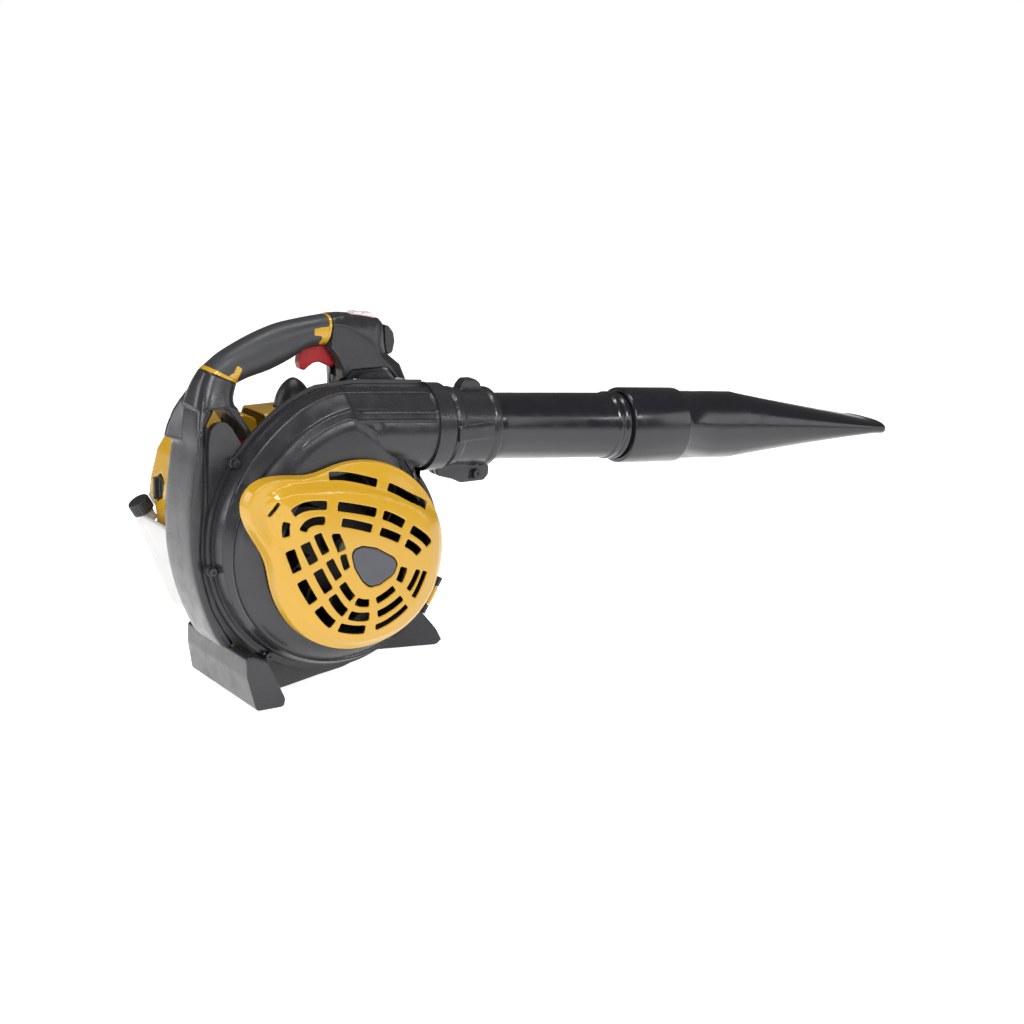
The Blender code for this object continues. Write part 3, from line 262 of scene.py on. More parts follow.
def lathe(name, prof, origin, axis, n=72, mat=None, closed=False):
    """A profile of (radius, height) turned about an axis."""
    q = Vector(axis).normalized().to_track_quat('Z', 'Y').to_matrix()
    bm = bmesh.new()
    rows = []
    for r, h in prof:
        if r < 1e-6:
            rows.append([bm.verts.new(origin + q @ Vector((0, 0, h * MM)))])
        else:
            rows.append([bm.verts.new(origin + q @ Vector((r * math.cos(2 * math.pi * k / n) * MM, r * math.sin(2 * math.pi * k / n) * MM, h * MM)))
                         for k in range(n)])
    pairs = list(zip(rows, rows[1:]))
    if closed:
        pairs.append((rows[-1], rows[0]))
    for a, b in pairs:
        for k in range(n):
            j = (k + 1) % n
            q4 = [a[k % len(a)], a[j % len(a)], b[j % len(b)], b[k % len(b)]]
            q4 = [v for i, v in enumerate(q4) if v not in q4[:i]]
            if len(q4) > 2:
                bm.faces.new(q4)
    return add(name, bm, mat)


def cyl(name, r, base, axis, length, n=48, mat=None):
    return lathe(name, [(0, 0), (r, 0), (r, length), (0, length)], base, axis, n, mat)


def ring(name, r0, r1, base, axis, length, n=72, mat=None):
    return lathe(name, [(r1, length), (r1, 0), (r0, 0), (r0, length)], base, axis, n, mat, True)


def loft(name, rings, mat=None, wrap=False):
    """Sections of equal count joined in order; the ends are capped unless wrap joins them."""
    bm = bmesh.new()
    cols = [[bm.verts.new(p) for p in r] for r in rings]
    n = len(rings[0])
    pairs = list(zip(cols, cols[1:]))
    if wrap:
        pairs.append((cols[-1], cols[0]))
    for a, b in pairs:
        for k in range(n):
            j = (k + 1) % n
            bm.faces.new((a[k], a[j], b[j], b[k]))
    if not wrap:
        f = [bm.faces.new(list(reversed(cols[0]))), bm.faces.new(cols[-1])]
        bmesh.ops.triangulate(bm, faces=f)
    return add(name, bm, mat)


def tube(name, pts, r, n=12, mat=None, res=6):
    """A round bar along a smooth line through points in machine millimetres."""
    path = [P(*p) for p in spline(pts, res, False)]
    rings = []
    ref = Vector((0, 1, 0.01)).normalized()
    for i, p in enumerate(path):
        d = (path[min(i + 1, len(path) - 1)] - path[max(i - 1, 0)]).normalized()
        u = (ref - d * ref.dot(d)).normalized()
        v = d.cross(u)
        ref = u
        rr = r[min(len(r) - 1, i)] if isinstance(r, list) else r
        rings.append([p + (u * math.cos(2 * math.pi * k / n) + v * math.sin(2 * math.pi * k / n)) * rr * MM for k in range(n)])
    return loft(name, rings, mat)


def soft(name, parts, voxel, it, mat=None, keep=1.0):
    """Melts overlapping solids into one moulded piece with rounded edges and fillets."""
    bm = bmesh.new()
    for o in parts:
        bm.from_mesh(o.data)
        drop(o)
    me = bpy.data.meshes.new(name)
    bm.to_mesh(me)
    bm.free()
    ob = bpy.data.objects.new(name, me)
    bpy.context.scene.collection.objects.link(ob)
    m = ob.modifiers.new("r", 'REMESH')
    m.mode = 'VOXEL'
    m.voxel_size = voxel * 1.0 * MM
    m.adaptivity = 0
    if it:
        s = ob.modifiers.new("s", 'SMOOTH')
        s.factor = 0.5
        s.iterations = it
    if keep < 1:
        d = ob.modifiers.new("d", 'DECIMATE')
        d.ratio = keep
    bake(ob)
    ob.data.materials.clear()
    if mat:
        ob.data.materials.append(mat)
    ob.data.shade_smooth()
    return ob


def copy_node(name, node):
    me = NODES[node].data.copy()
    ob = bpy.data.objects.new(name, me)
    bpy.context.scene.collection.objects.link(ob)
    bm = bmesh.new()
    bm.from_mesh(me)
    bmesh.ops.remove_doubles(bm, verts=bm.verts, dist=1e-6)
    bm.to_mesh(me)
    bm.free()
    return ob


def put(ob, body, nodes=()):
    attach(ob, body)
    if nodes:
        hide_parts(*nodes)
    return ob


# ---------------------------------------------------------------- materials
def material(name, rgb, rough=0.4, metal=0.0, spec=0.5, coat=0.0, grain=0.0, grain_scale=900.0, tone=0.06, tone_scale=18.0,
             rough_var=0.08, dust=0.0, sheen=0.0, trans=0.0, sss=0.0, alpha=1.0):
    """A procedural finish: tone and roughness drift over the surface, and a moulded or cast grain is in the bump."""
    m = bpy.data.materials.new(name)
    m.use_nodes = True
    nt = m.node_tree
    b = nt.nodes["Principled BSDF"]
    b.inputs["Metallic"].default_value = metal
    b.inputs["Specular IOR Level"].default_value = spec
    b.inputs["Coat Weight"].default_value = coat
    b.inputs["Coat Roughness"].default_value = 0.12
    b.inputs["Sheen Weight"].default_value = sheen
    b.inputs["Transmission Weight"].default_value = trans
    b.inputs["Alpha"].default_value = alpha
    if sss:
        b.inputs["Subsurface Weight"].default_value = sss
        b.inputs["Subsurface Scale"].default_value = 0.01
    tc = nt.nodes.new("ShaderNodeTexCoord")
    big = nt.nodes.new("ShaderNodeTexNoise")
    big.inputs["Scale"].default_value = tone_scale
    big.inputs["Detail"].default_value = 4
    nt.links.new(tc.outputs["Object"], big.inputs["Vector"])
    ramp = nt.nodes.new("ShaderNodeMix")
    ramp.data_type = 'RGBA'
    ramp.inputs["A"].default_value = (*[c * (1 - tone) for c in rgb], 1)
    ramp.inputs["B"].default_value = (*[min(1, c * (1 + tone)) for c in rgb], 1)
    nt.links.new(big.outputs["Fac"], ramp.inputs["Factor"])
    col = ramp.outputs["Result"]
    if dust:
        dn = nt.nodes.new("ShaderNodeTexNoise")
        dn.inputs["Scale"].default_value = 420
        dn.inputs["Detail"].default_value = 6
        nt.links.new(tc.outputs["Object"], dn.inputs["Vector"])
        mp = nt.nodes.new("ShaderNodeMapRange")
        mp.inputs["From Min"].default_value = 0.62
        mp.inputs["From Max"].default_value = 0.80
        mp.inputs["To Max"].default_value = dust
        nt.links.new(dn.outputs["Fac"], mp.inputs["Value"])
        dm = nt.nodes.new("ShaderNodeMix")
        dm.data_type = 'RGBA'
        dm.inputs["B"].default_value = (0.36, 0.33, 0.29, 1)
        nt.links.new(mp.outputs["Result"], dm.inputs["Factor"])
        nt.links.new(col, dm.inputs["A"])
        col = dm.outputs["Result"]
    nt.links.new(col, b.inputs["Base Color"])
    rn = nt.nodes.new("ShaderNodeTexNoise")
    rn.inputs["Scale"].default_value = 60
    rn.inputs["Detail"].default_value = 5
    nt.links.new(tc.outputs["Object"], rn.inputs["Vector"])
    rm = nt.nodes.new("ShaderNodeMapRange")
    rm.inputs["From Min"].default_value = 0.3
    rm.inputs["From Max"].default_value = 0.7
    rm.inputs["To Min"].default_value = max(0.02, rough - rough_var)
    rm.inputs["To Max"].default_value = min(1.0, rough + rough_var)
    nt.links.new(rn.outputs["Fac"], rm.inputs["Value"])
    nt.links.new(rm.outputs["Result"], b.inputs["Roughness"])
    if grain:
        gn = nt.nodes.new("ShaderNodeTexNoise")
        gn.inputs["Scale"].default_value = grain_scale
        gn.inputs["Detail"].default_value = 3
        nt.links.new(tc.outputs["Object"], gn.inputs["Vector"])
        bp = nt.nodes.new("ShaderNodeBump")
        bp.inputs["Strength"].default_value = grain
        bp.inputs["Distance"].default_value = 0.0004
        nt.links.new(gn.outputs["Fac"], bp.inputs["Height"])
        nt.links.new(bp.outputs["Normal"], b.inputs["Normal"])
    return m


M_HOUSING = material("housing_nylon", (0.022, 0.022, 0.025), 0.26, grain=0.03, grain_scale=1100, tone=0.05, dust=0.0, spec=0.42)
M_TUBE = material("tube_plastic", (0.012, 0.012, 0.015), 0.20, grain=0.01, grain_scale=300, tone=0.06, dust=0.0, spec=0.55)
M_GRIP = material("grip_rubber", (0.027, 0.028, 0.030), 0.46, grain=0.15, grain_scale=1600, tone=0.06, dust=0.03)
M_YELLOW = material("yellow_plastic", (0.475, 0.266, 0.015), 0.22, grain=0.04, grain_scale=700, tone=0.03, rough_var=0.05, coat=0.15, dust=0.01)
M_RED = material("red_plastic", (0.29, 0.006, 0.008), 0.30, spec=0.3, grain=0.06, tone=0.06)
M_BLACK = material("black_plastic", (0.014, 0.014, 0.015), 0.42, grain=0.15, grain_scale=1200, tone=0.08, dust=0.03)
M_BADGE = material("badge_plastic", (0.052, 0.052, 0.066), 0.36, grain=0.08, grain_scale=1500, tone=0.04)
M_TANK = material("tank_polyethylene", (0.50, 0.50, 0.485), 0.42, grain=0.06, grain_scale=500, tone=0.04, sss=0.12, spec=0.4)
M_STEEL = material("zinc_steel", (0.50, 0.50, 0.50), 0.36, metal=1.0, grain=0.10, grain_scale=900, tone=0.10)
M_DARKSTEEL = material("blackened_steel", (0.045, 0.045, 0.048), 0.38, metal=0.8, grain=0.10, tone=0.10)
M_ALU = material("cast_aluminium", (0.52, 0.52, 0.53), 0.46, metal=1.0, grain=0.45, grain_scale=1500, tone=0.10)
M_FOAM = material("filter_foam", (0.06, 0.06, 0.06), 0.95, grain=1.0, grain_scale=700, tone=0.25, tone_scale=600)
M_RUBBER = material("black_rubber", (0.015, 0.015, 0.015), 0.60, grain=0.20, tone=0.08)
M_PRIMER = material("primer_bulb", (0.70, 0.66, 0.58), 0.30, grain=0.02, sss=0.3)
# pale pink on a red switch: painted highlight for the light on the switch's top
M_SWITCH_PAINTED_HIGHLIGHT = material("switch_painted_highlight", (0.74, 0.60, 0.60), 0.30, grain=0.04, tone=0.08, tone_scale=60)

NODE_MAT = {
    "housing_plastic": M_HOUSING, "yellow_plastic": M_YELLOW, "tube_plastic": M_TUBE, "grip_rubber": M_GRIP, "red_plastic": M_RED,
    "black_plastic": M_BLACK, "tank_plastic": M_TANK, "badge_plastic": M_BADGE, "steel": M_STEEL, "cast_aluminium": M_ALU,
    "filter_foam": M_FOAM, "black_rubber": M_RUBBER, "primer_plastic": M_PRIMER}
for s in frame["record"]["subparts"]:
    o = NODES.get(s["node"])
    if o:
        o.data.materials.clear()
        o.data.materials.append(NODE_MAT[s["material_slot"]])
        shade(o, 30)
for n in ("housing_screw_1", "housing_screw_2", "housing_screw_3", "collar_screw"):
    NODES[n].data.materials[0] = M_DARKSTEEL


# ---------------------------------------------------------------- fan housing
def scroll_r(deg):
    t = (TONGUE - deg) % 360
    if t <= 309:
        g = min(max((t - 265) / 44, 0), 1)
        return 107 + 50 * (t / 309) ** 1.25 + 8 * g * g * (3 - 2 * g)
    return 165 + (107 - 165) * (t - 309) / 51


def sm(x):
    x = min(max(x, 0.0), 1.0)
    return x * x * (3 - 2 * x)


RIDGE = 63.0          # angle of the upper moulded line round the shoulder
C2 = 18.0             # angle of the lower line, on the duct


def crease(deg):
    """Where the shoulder's broad flat ends, as an angle round the shoulder."""
    t = (TONGUE - deg) % 360
    return 50 - 17.5 * sm((t - 190) / 110)


def lin(a, b, n):
    return [a + (b - a) * k / (n - 1) for k in range(n)]


def stops(c1):
    """The angles round the shoulder that carry the moulded lines."""
    return (lin(0, 14.5, 5) + [16, 16.8, 17.4, 18, 18.6, 19.2, 20] + lin(22, c1 - 1.8, 5) + [c1 - 1.0, c1 - 0.4, c1, c1 + 0.5, c1 + 1.2]
            + lin(c1 + 3, 60.5, 6) + [61.6, 62.4, 63, 63.6, 64.4] + lin(66.5, 90, 8))


def relief(a, c1, low):
    """How far the shoulder stands proud of its plain curve, in millimetres: two flats, a step and two fine lines."""
    h = 0.0
    for lo, hi in ((c1, RIDGE), (RIDGE, 90)):
        if lo <= a <= hi:
            k, m = math.radians((hi - lo) / 2), math.radians((hi + lo) / 2)
            h += 43 * (math.cos(k) / math.cos(math.radians(a) - m) - 1) * 0.8
    h += 0.75 * math.exp(-((a - RIDGE) / 0.9) ** 2) + 0.5 * math.exp(-((a - c1) / 0.9) ** 2)
    if a < c1:
        h -= 2.2 * sm((c1 - a) / 1.2) * (1 - sm((c1 - a - 6) / 34))
    return h + low * 1.1 * math.exp(-((a - C2) / 0.95) ** 2)


def sink(deg):
    """The front wall steps back beside the outlet duct."""
    d = (deg + 180) % 360 - 180
    return 5.0 * (sm((82 - d) / 24) if d > 38.7 else sm((d + 30) / 60))


def scroll_solid(name, off, n, k, detail=False):
    yb = BACK_Y - off
    bm = bmesh.new()
    front, back = bm.verts.new(P(CX, FRONT_Y + off, CZ)), bm.verts.new(P(CX, yb, CZ))
    cols = []
    for i in range(n):
        deg = TONGUE - 360 * (i + 0.5) / n
        R = scroll_r(deg) - off
        c1 = crease(deg)
        low = sm((118 - ((deg + 360) % 360)) / 14) if 20 < (deg + 360) % 360 < 130 else 0
        depth = PART_Y - (FRONT_Y + off) - sink(deg)
        w = min(40, R - 84)
        ang = stops(c1) if detail else lin(0, 90, k + 1)
        prof = []
        for a in ang:
            h = relief(a, c1, low) if detail else 0
            s, c = math.sin(math.radians(a)), math.cos(math.radians(a))
            prof.append((R - w + (w + h) * s, PART_Y - (depth + h) * c))
        prof.insert(0, (70, prof[0][1]))
        w = min(36, R - 72)
        kb = 24 if detail else k
        for j in range(1, kb + 1):
            a = 90 - 90 * j / kb
            s, c = math.sin(math.radians(a)), math.cos(math.radians(a))
            prof.append((R - w + w * s, PART_Y + (yb - PART_Y) * c))
        prof.append((50, yb))
        c, s = math.cos(math.radians(deg)), math.sin(math.radians(deg))
        cols.append([bm.verts.new(P(CX + r * c, y, CZ + r * s)) for r, y in prof])
    for i in range(n):
        a, b = cols[i], cols[(i + 1) % n]
        bm.faces.new((front, a[0], b[0]))
        bm.faces.new((back, b[-1], a[-1]))
        for q in range(len(a) - 1):
            bm.faces.new((a[q], a[q + 1], b[q + 1], b[q]))
    return add(name, bm)


def duct_solid(name, x0, x1, r):
    rings = []
    betas = stops(32.5) + lin(94, 266, 44) + lin(270, 356, 24)
    for i in range(61):
        x = x0 + (x1 - x0) * i / 60
        c = tube_at(x)
        row = []
        for beta in betas:
            bb = beta if beta <= 180 else beta - 360
            h = 0
            if x < 203.5 and 0 <= bb <= 90:
                h = relief(bb, 32.5, 1)
            if -90 < bb < 90:
                h -= 1.3 * (1 - sm((x - 109) / 35)) * math.cos(math.radians(bb))
            if -140 < bb < 16:
                h -= 8 * (1 - sm((x - 126) / 20)) * (1 - sm((bb - 4) / 12))
            a = math.radians(beta)
            row.append(c + (Vector((0, -math.cos(a), 0)) + UP * math.sin(a)) * (r + h) * MM)
        rings.append(row)
    return loft(name, rings)


def flange_line(grow, step=1.5):
    pts = []
    deg = TONGUE - 6
    while deg > TONGUE - 303:
        r = scroll_r(deg) + grow
        pts.append((CX + r * math.cos(math.radians(deg)), CZ + r * math.sin(math.radians(deg))))
        deg -= step
    for x, d in ((125, DUCT_R + grow), (202, DUCT_R + grow), (202, -DUCT_R - grow), (188, -DUCT_R - grow)):
        pts.append((x - SLOPE * AX.x * d, axis_z(x) + AX.x * d))
    return pts


SCREWS = [(139.0, 3.5), (231.0, 3.5), (183.0, 3.5)]


def spot(deg, out):
    r = scroll_r(deg) + out
    return CX + r * math.cos(math.radians(deg)), CZ + r * math.sin(math.radians(deg))


CD = Vector((math.cos(math.radians(147)), 0, math.sin(math.radians(147))))
CT = Vector((CD.z, 0, -CD.x))


def corner_block(name, r0, r1, w, y0, y1, mat=None):
    bm = bmesh.new()
    bmesh.ops.create_cube(bm, size=1.0)
    for v in bm.verts:
        v.co = P(GX, 0, CZ) + CD * (r0 if v.co.x < 0 else r1) * MM + CT * (w if v.co.z > 0 else -w) * MM \
            + Vector((0, (y0 if v.co.y < 0 else y1) * MM, 0))
    return add(name, bm, mat)


HINGE_P = (191.3, -86.5, 96.2)
HINGE_D = Vector((0.526, 0, 0.851)).normalized()
HN = Vector((0.851, 0, -0.526))
HP = P(*HINGE_P)


def hinge_box(name, s0, s1, n0, n1, y0, y1):
    bm = bmesh.new()
    bmesh.ops.create_cube(bm, size=1.0)
    for v in bm.verts:
        v.co = HP + HINGE_D * (s0 if v.co.z < 0 else s1) * MM + HN * (n0 if v.co.x < 0 else n1) * MM \
            + Vector((0, ((y0 if v.co.y < 0 else y1) - HINGE_P[1]) * MM, 0))
    return add(name, bm)


def volute(keep):
    tag = "intake" if keep < 0 else "engine"
    body = scroll_solid("v", 0, 240, 30, True)
    union(body, duct_solid("d", 109, 226, DUCT_R))
    if keep < 0:
        union(body, prism("lip", flange_line(5.6), PART_Y - 2.4, PART_Y - 0.45), prism("lip2", flange_line(1.3), PART_Y - 5.2, PART_Y - 3.9))
    else:
        union(body, prism("lip", flange_line(5.2), PART_Y + 0.45, PART_Y + 2.4))
    union(body, ring("band", DUCT_R - 1, DUCT_R + 2.4, tube_at(205.2), AX, 18.2, 144), ring("band2", DUCT_R - 1, DUCT_R + 3.1, tube_at(205.2), AX, 2.6, 144))
    for i, (deg, out) in enumerate(SCREWS):
        x, z = spot(deg, out)
        union(body, lathe("boss", [(0, 0), (4.6, 0), (5.4, 0.9), (5.6, 10.8), (0, 10.8)], P(x, PART_Y - 6.8, z), (0, 1, 0), 40))
    if keep > 0:
        wing = fillet([(-20, 196), (-30.2, 206), (-29.8, 244), (-28.6, 270), (-25.6, 284), (-19, 290), (-10.6, 290.4), (-4, 284), (6, 266), (24, 250), (40, 236),
                       (30, 200)], [0, 4, 20, 20, 9, 7, 7, 10, 20, 20, 0, 0], 5)
        w = prism("wing", wing, PART_Y - 0.2, PART_Y + 4.2)
        edge(w, 0.8, 2, 60)
        union(body, w)
        ear = fillet([(136, 296), (137.2, 309), (142, 317), (150, 321.6), (162, 322.6), (175, 319.5), (181, 312), (182.5, 296)], 6, 6)
        e = prism("ear", ear, -29.8, -24.2)
        edge(e, 0.9, 2, 60)
        union(body, e)
        union(body, block("perch", (152, -6, 262), (182, 20, 282)), lathe("earboss", [(0, 0), (4.4, 0), (5.2, 0.8), (5.2, 5), (0, 5)], P(155.3, -31.6, 309.6), (0, 1, 0), 32))
    if keep < 0:
        # raised ring that the grille closes on
        union(body, ring("seat", 85.5, 90.5, P(CX - 3.5, -84.0, CZ), (0, 1, 0), 6, 144))
        union(body, lathe("tongue_boss", [(0, 0), (5.0, 0), (6.0, 1.0), (6.4, 16), (0, 16)], P(178.5, -62, 231.5), (0, 1, 0), 36))
    cut(body, scroll_solid("void", 4.0, 96, 8), cyl("mouth", 38.6, tube_at(150), AX, 110, 96))
    if keep < 0:
        union(body, corner_block("latch_seat", 108, 137, 8, -82.6, -52))
        cut(body, cyl("inlet", INLET_R, P(CX, -100, CZ), (0, 1, 0), 50, 144), block("split", (-200, PART_Y - GAPV, -100), (900, 120, 500)))
        for k, s in enumerate((-20.5, 10.5)):
            union(body, cyl("ear", 3.2, HP + HINGE_D * s * MM, HINGE_D, 10, 20), hinge_box("web", s, s + 10, -14, -0.5, -85.5, -76))
        cut(body, hinge_box("knuckle_room", -10.4, 10.4, -6, 6, -91, -80.5), cyl("pinbore", 1.6, HP - HINGE_D * 0.040, HINGE_D, 80, 16))
    else:
        cut(body, cyl("shaft", 19, P(CX, -30, CZ), (0, 1, 0), 60, 48), block("split", (-200, -200, -100), (900, PART_Y + GAPV, 500)))
    for i, (deg, out) in enumerate(SCREWS):
        x, z = spot(deg, out)
        cut(body, cyl("hole", 2.3, P(x, PART_Y - 20, z), (0, 1, 0), 40, 24))
    body.name = f"fan_housing_{tag}_shell"
    body.data.materials.clear()
    body.data.materials.append(M_HOUSING)
    for f in body.data.polygons:
        f.material_index = 0
    shade(body, 28)
    return put(body, "housing", [f"volute_{tag}_half"])


GAPV = 0.25
volute(-1)
volute(1)

# ---------------------------------------------------------------- intake grille
RINGS = {
    "top": [(-95, 75), (-36, 86), (17, 73), (52, 55), (80, 33), (95, -30), (60, -95), (-60, -95), (-110, 0)],
    "outer": [(-88, 40), (-76, 59), (-45, 60), (12, 45), (45, 27), (71, 3), (64, -24), (44, -55), (8, -73),
              (-34, -66), (-58, -40), (-77, -3)],
    "middle": [(-71, 34), (-60, 46), (-28, 41), (8, 29), (38, 14), (58, -3), (55, -22), (38, -45), (8, -59),
               (-24, -54), (-44, -28), (-60, 4)],
    "inner": [(-53, 34), (-40, 36), (-10, 28), (25, 18), (45, 0), (42, -16), (32, -34), (8, -46), (-13, -42),
              (-29, -20), (-43, 8)],
    "core": [(-32, 30), (-10, 24), (20, 14), (34, -6), (20, -28), (-4, -30), (-20, -12), (-28, 14)],
}
SLOTS = [
    ("top", 112, 77, 2.7), ("top", 67, 30, 2.7),
    ("outer", 159, 151, 2.6), ("outer", 145, 126, 3.0), ("outer", 119, 77, 3.2), ("outer", 67, 36, 3.2),
    ("outer", 26, 4, 3.0), ("outer", -19, -43, 1.9), ("outer", -52, -84, 1.9), ("outer", -93, -116, 3.3),
    ("outer", -122, -142, 3.5), ("outer", -149, -170, 3.7), ("outer", -178, -193, 3.7),
    ("middle", 152, 136, 2.7), ("middle", 125, 82, 2.8), ("middle", 63, 24, 2.8), ("middle", 15, -2, 2.8),
    ("middle", -19, -41, 1.9), ("middle", -51, -81, 2.4), ("middle", -90, -112, 3.2), ("middle", -117, -142, 3.5),
    ("middle", -149, -176, 3.8), ("middle", -184, -200, 3.8),
    ("inner", -20, -39, 3.1), ("inner", -49, -77, 2.4), ("inner", -87, -106, 2.7), ("inner", -112, -141, 2.7),
    ("inner", -152, -185, 2.9), ("inner", -194, -211, 2.9),
    ("core", -203, -222, 3.4), ("core", -160, -196, 2.2),
]
LOOPS = {k: [Vector(p) for p in spline(v, 40)] for k, v in RINGS.items()}


def ring_at(name, deg):
    loop = LOOPS[name]
    want = math.radians(deg)
    best = None
    for a, b in zip(loop, loop[1:] + loop[:1]):
        fa = math.sin(math.atan2(a.y, a.x) - want)
        fb = math.sin(math.atan2(b.y, b.x) - want)
        if a.x * math.cos(want) + a.y * math.sin(want) > 0 and fa * fb <= 0 and fa != fb:
            best = a + (b - a) * (fa / (fa - fb))
    return best


def slot_outline(name, a0, a1, half):
    n = 8
    mid = [ring_at(name, a0 + (a1 - a0) * k / n) for k in range(n + 1)]
    left, right = [], []
    for k, p in enumerate(mid):
        d = (mid[min(k + 1, n)] - mid[max(k - 1, 0)]).normalized()
        nn = Vector((-d.y, d.x)) * half
        left.append(p + nn)
        right.append(p - nn)
    dx, dz = (-3, 1.5) if name in ("inner", "core") else (0, 0)
    return [(CX + p.x + dx, CZ + p.y + dz) for p in left + list(reversed(right))]


def grille_r(deg):
    d = abs((deg - 147 + 180) % 360 - 180)
    return 97 + 46 * math.exp(-(d / 19) ** 2.2)


RIM_Y, CROWN_Y = -84.5, -111.5
PLATEAU = spline([(-93, 76), (-99, 50), (-97, 6), (-81, -41), (-54, -71), (-14, -90), (30, -87), (60, -71), (80, -45), (89, -10), (86, 26), (62, 45),
                  (13, 66), (-43, 78)], 10)
PLATEAU = [(CX + x, CZ + z) for x, z in PLATEAU]


def depth_in(x, z):
    """Distance from the grille's raised middle's edge: positive inside it."""
    best, inside = 1e9, False
    m = len(PLATEAU)
    for i in range(m):
        (ax, az), (bx, bz) = PLATEAU[i], PLATEAU[(i + 1) % m]
        dx, dz = bx - ax, bz - az
        t = max(0, min(1, ((x - ax) * dx + (z - az) * dz) / (dx * dx + dz * dz)))
        best = min(best, math.hypot(x - ax - t * dx, z - az - t * dz))
        if (az > z) != (bz > z) and x < ax + (z - az) * dx / dz:
            inside = not inside
    return best if inside else -best


def wall_h(deg):
    d = (deg - 165 + 180) % 360 - 180
    return 8 + 7.5 * math.exp(-(d / 44) ** 2)


def face_y(x, z, e, H):
    """The grille's outer surface: side wall, skirt, then the raised domed middle."""
    d = depth_in(x, z)
    k = min(max(d, 0) / 75, 1)
    yE = RIM_Y - H
    return yE + (-98 - yE) * sm(e / 24) - 5.5 * sm((d + 5) / 10) - 8 * (1 - (1 - k) ** 2)


def grille():
    n = 220
    bm = bmesh.new()
    mid, mid2 = bm.verts.new(P(GX, CROWN_Y, CZ)), bm.verts.new(P(GX, CROWN_Y + 2.6, CZ))
    cols = []
    for i in range(n):
        deg = 147 + 360 * i / n
        R = grille_r(deg)
        H = wall_h(deg)
        inset = 0.6 + (H - 8) * 0.55
        c, s = math.cos(math.radians(deg)), math.sin(math.radians(deg))
        R1 = R - inset
        prof = []
        for k in range(1, 27):
            r = (R1 - 1.0) * k / 26
            prof.append((r, face_y(GX + r * c, CZ + r * s, R1 - r, H)))
        yE = prof[-1][1]
        prof += [(R1 - 0.3, yE + 0.5), (R1, yE + 1.4), (R - inset * 0.25, RIM_Y - 2.5), (R, RIM_Y - 1.0), (R, RIM_Y)]
        back = [(R - 2.8, RIM_Y), (R1 - 2.8, yE + 3.6)]
        for k in range(24, 0, -1):
            r = (R1 - 1.0) * k / 26
            back.append((r, face_y(GX + r * c, CZ + r * s, R1 - r, H) + 2.7))
        cols.append([bm.verts.new(P(GX + r * c, y, CZ + r * s)) for r, y in prof + back])
    for i in range(n):
        a, b = cols[i], cols[(i + 1) % n]
        bm.faces.new((mid, b[0], a[0]))
        bm.faces.new((mid2, a[-1], b[-1]))
        for k in range(len(a) - 1):
            bm.faces.new((a[k], b[k], b[k + 1], a[k + 1]))
    ob = add("g", bm)
    for k, (rn, a0, a1, half) in enumerate(SLOTS):
        cut(ob, prism("slot", fillet(slot_outline(rn, a0, a1, half + 1.35), 0.9, 2), -125, -86))
    cut(ob, prism("pocket", fillet(badge_outline(1.05), 6, 5), -130, -107.6))
    cut(ob, corner_block("slit", 111, 114.0, 8, -130, -80))
    union(ob, cyl("knuckle", 3.4, HP - HINGE_D * 0.010, HINGE_D, 20, 24))
    cut(ob, cyl("bore", 1.6, HP - HINGE_D * 0.040, HINGE_D, 80, 16))
    for s in (-20.5, 10.5):
        cut(ob, hinge_box("room", s - 0.6, s + 10.6, -16, 5, -90.6, -80))
    ob = soft("intake_grille_moulding", [ob], 0.85, 3, M_YELLOW, 0.5)
    return put(ob, "grille_door", ["intake_grille"])


BADGE_PTS = [(-25, 12), (-22, 18), (-13, 20), (2, 16), (21, 4), (25, -3), (20, -13), (5, -21), (-6, -22), (-14, -15), (-22, -1)]


def badge_outline(k):
    return [(CX + 6 + x * k, CZ - 6 + z * k) for x, z in BADGE_PTS]


grille()
bd = prism("badge_plate", fillet(badge_outline(1.0), 7, 6), -111.2, -108.2)
bd = soft("badge_plate", [bd], 0.7, 5, M_BADGE)
put(bd, "grille_door", ["grille_badge"])

# ---------------------------------------------------------------- handle
GRIP = [((-17, 338), (17, 321)), ((5, 353), (31, 325.5)), ((36, 367), (52, 330.5)), ((65, 376), (73.5, 338.5)),
        ((95, 380), (94, 348.5)), ((121, 382), (114, 351))]


def sect(o, i, w, power=2.5, n=48):
    """A rounded section across the frame, from its outer to its inner point in the side view."""
    o, i = Vector(o), Vector(i)
    c, d = (o + i) / 2, (o - i) / 2
    h = d.length
    d.normalize()
    out = []
    for k in range(n):
        a = 2 * math.pi * (k + 0.5) / n
        ca, sa = math.cos(a), math.sin(a)
        s = (abs(ca) ** power + abs(sa) ** power) ** (-1 / power)
        q = c + d * (h * sa * s)
        out.append(P(q.x, w * ca * s, q.y))
    return out


def sweep(name, stations, res=6, mat=None, n=48):
    """stations: (outer x, outer z, inner x, inner z, half width, power)"""
    rows = spline(stations, res, False)
    return loft(name, [sect((r[0], r[1]), (r[2], r[3]), r[4], r[5], n) for r in rows], mat)


def lerp2(a, b, t):
    return tuple(tuple(Vector(p).lerp(Vector(q), t)) for p, q in zip(a, b))


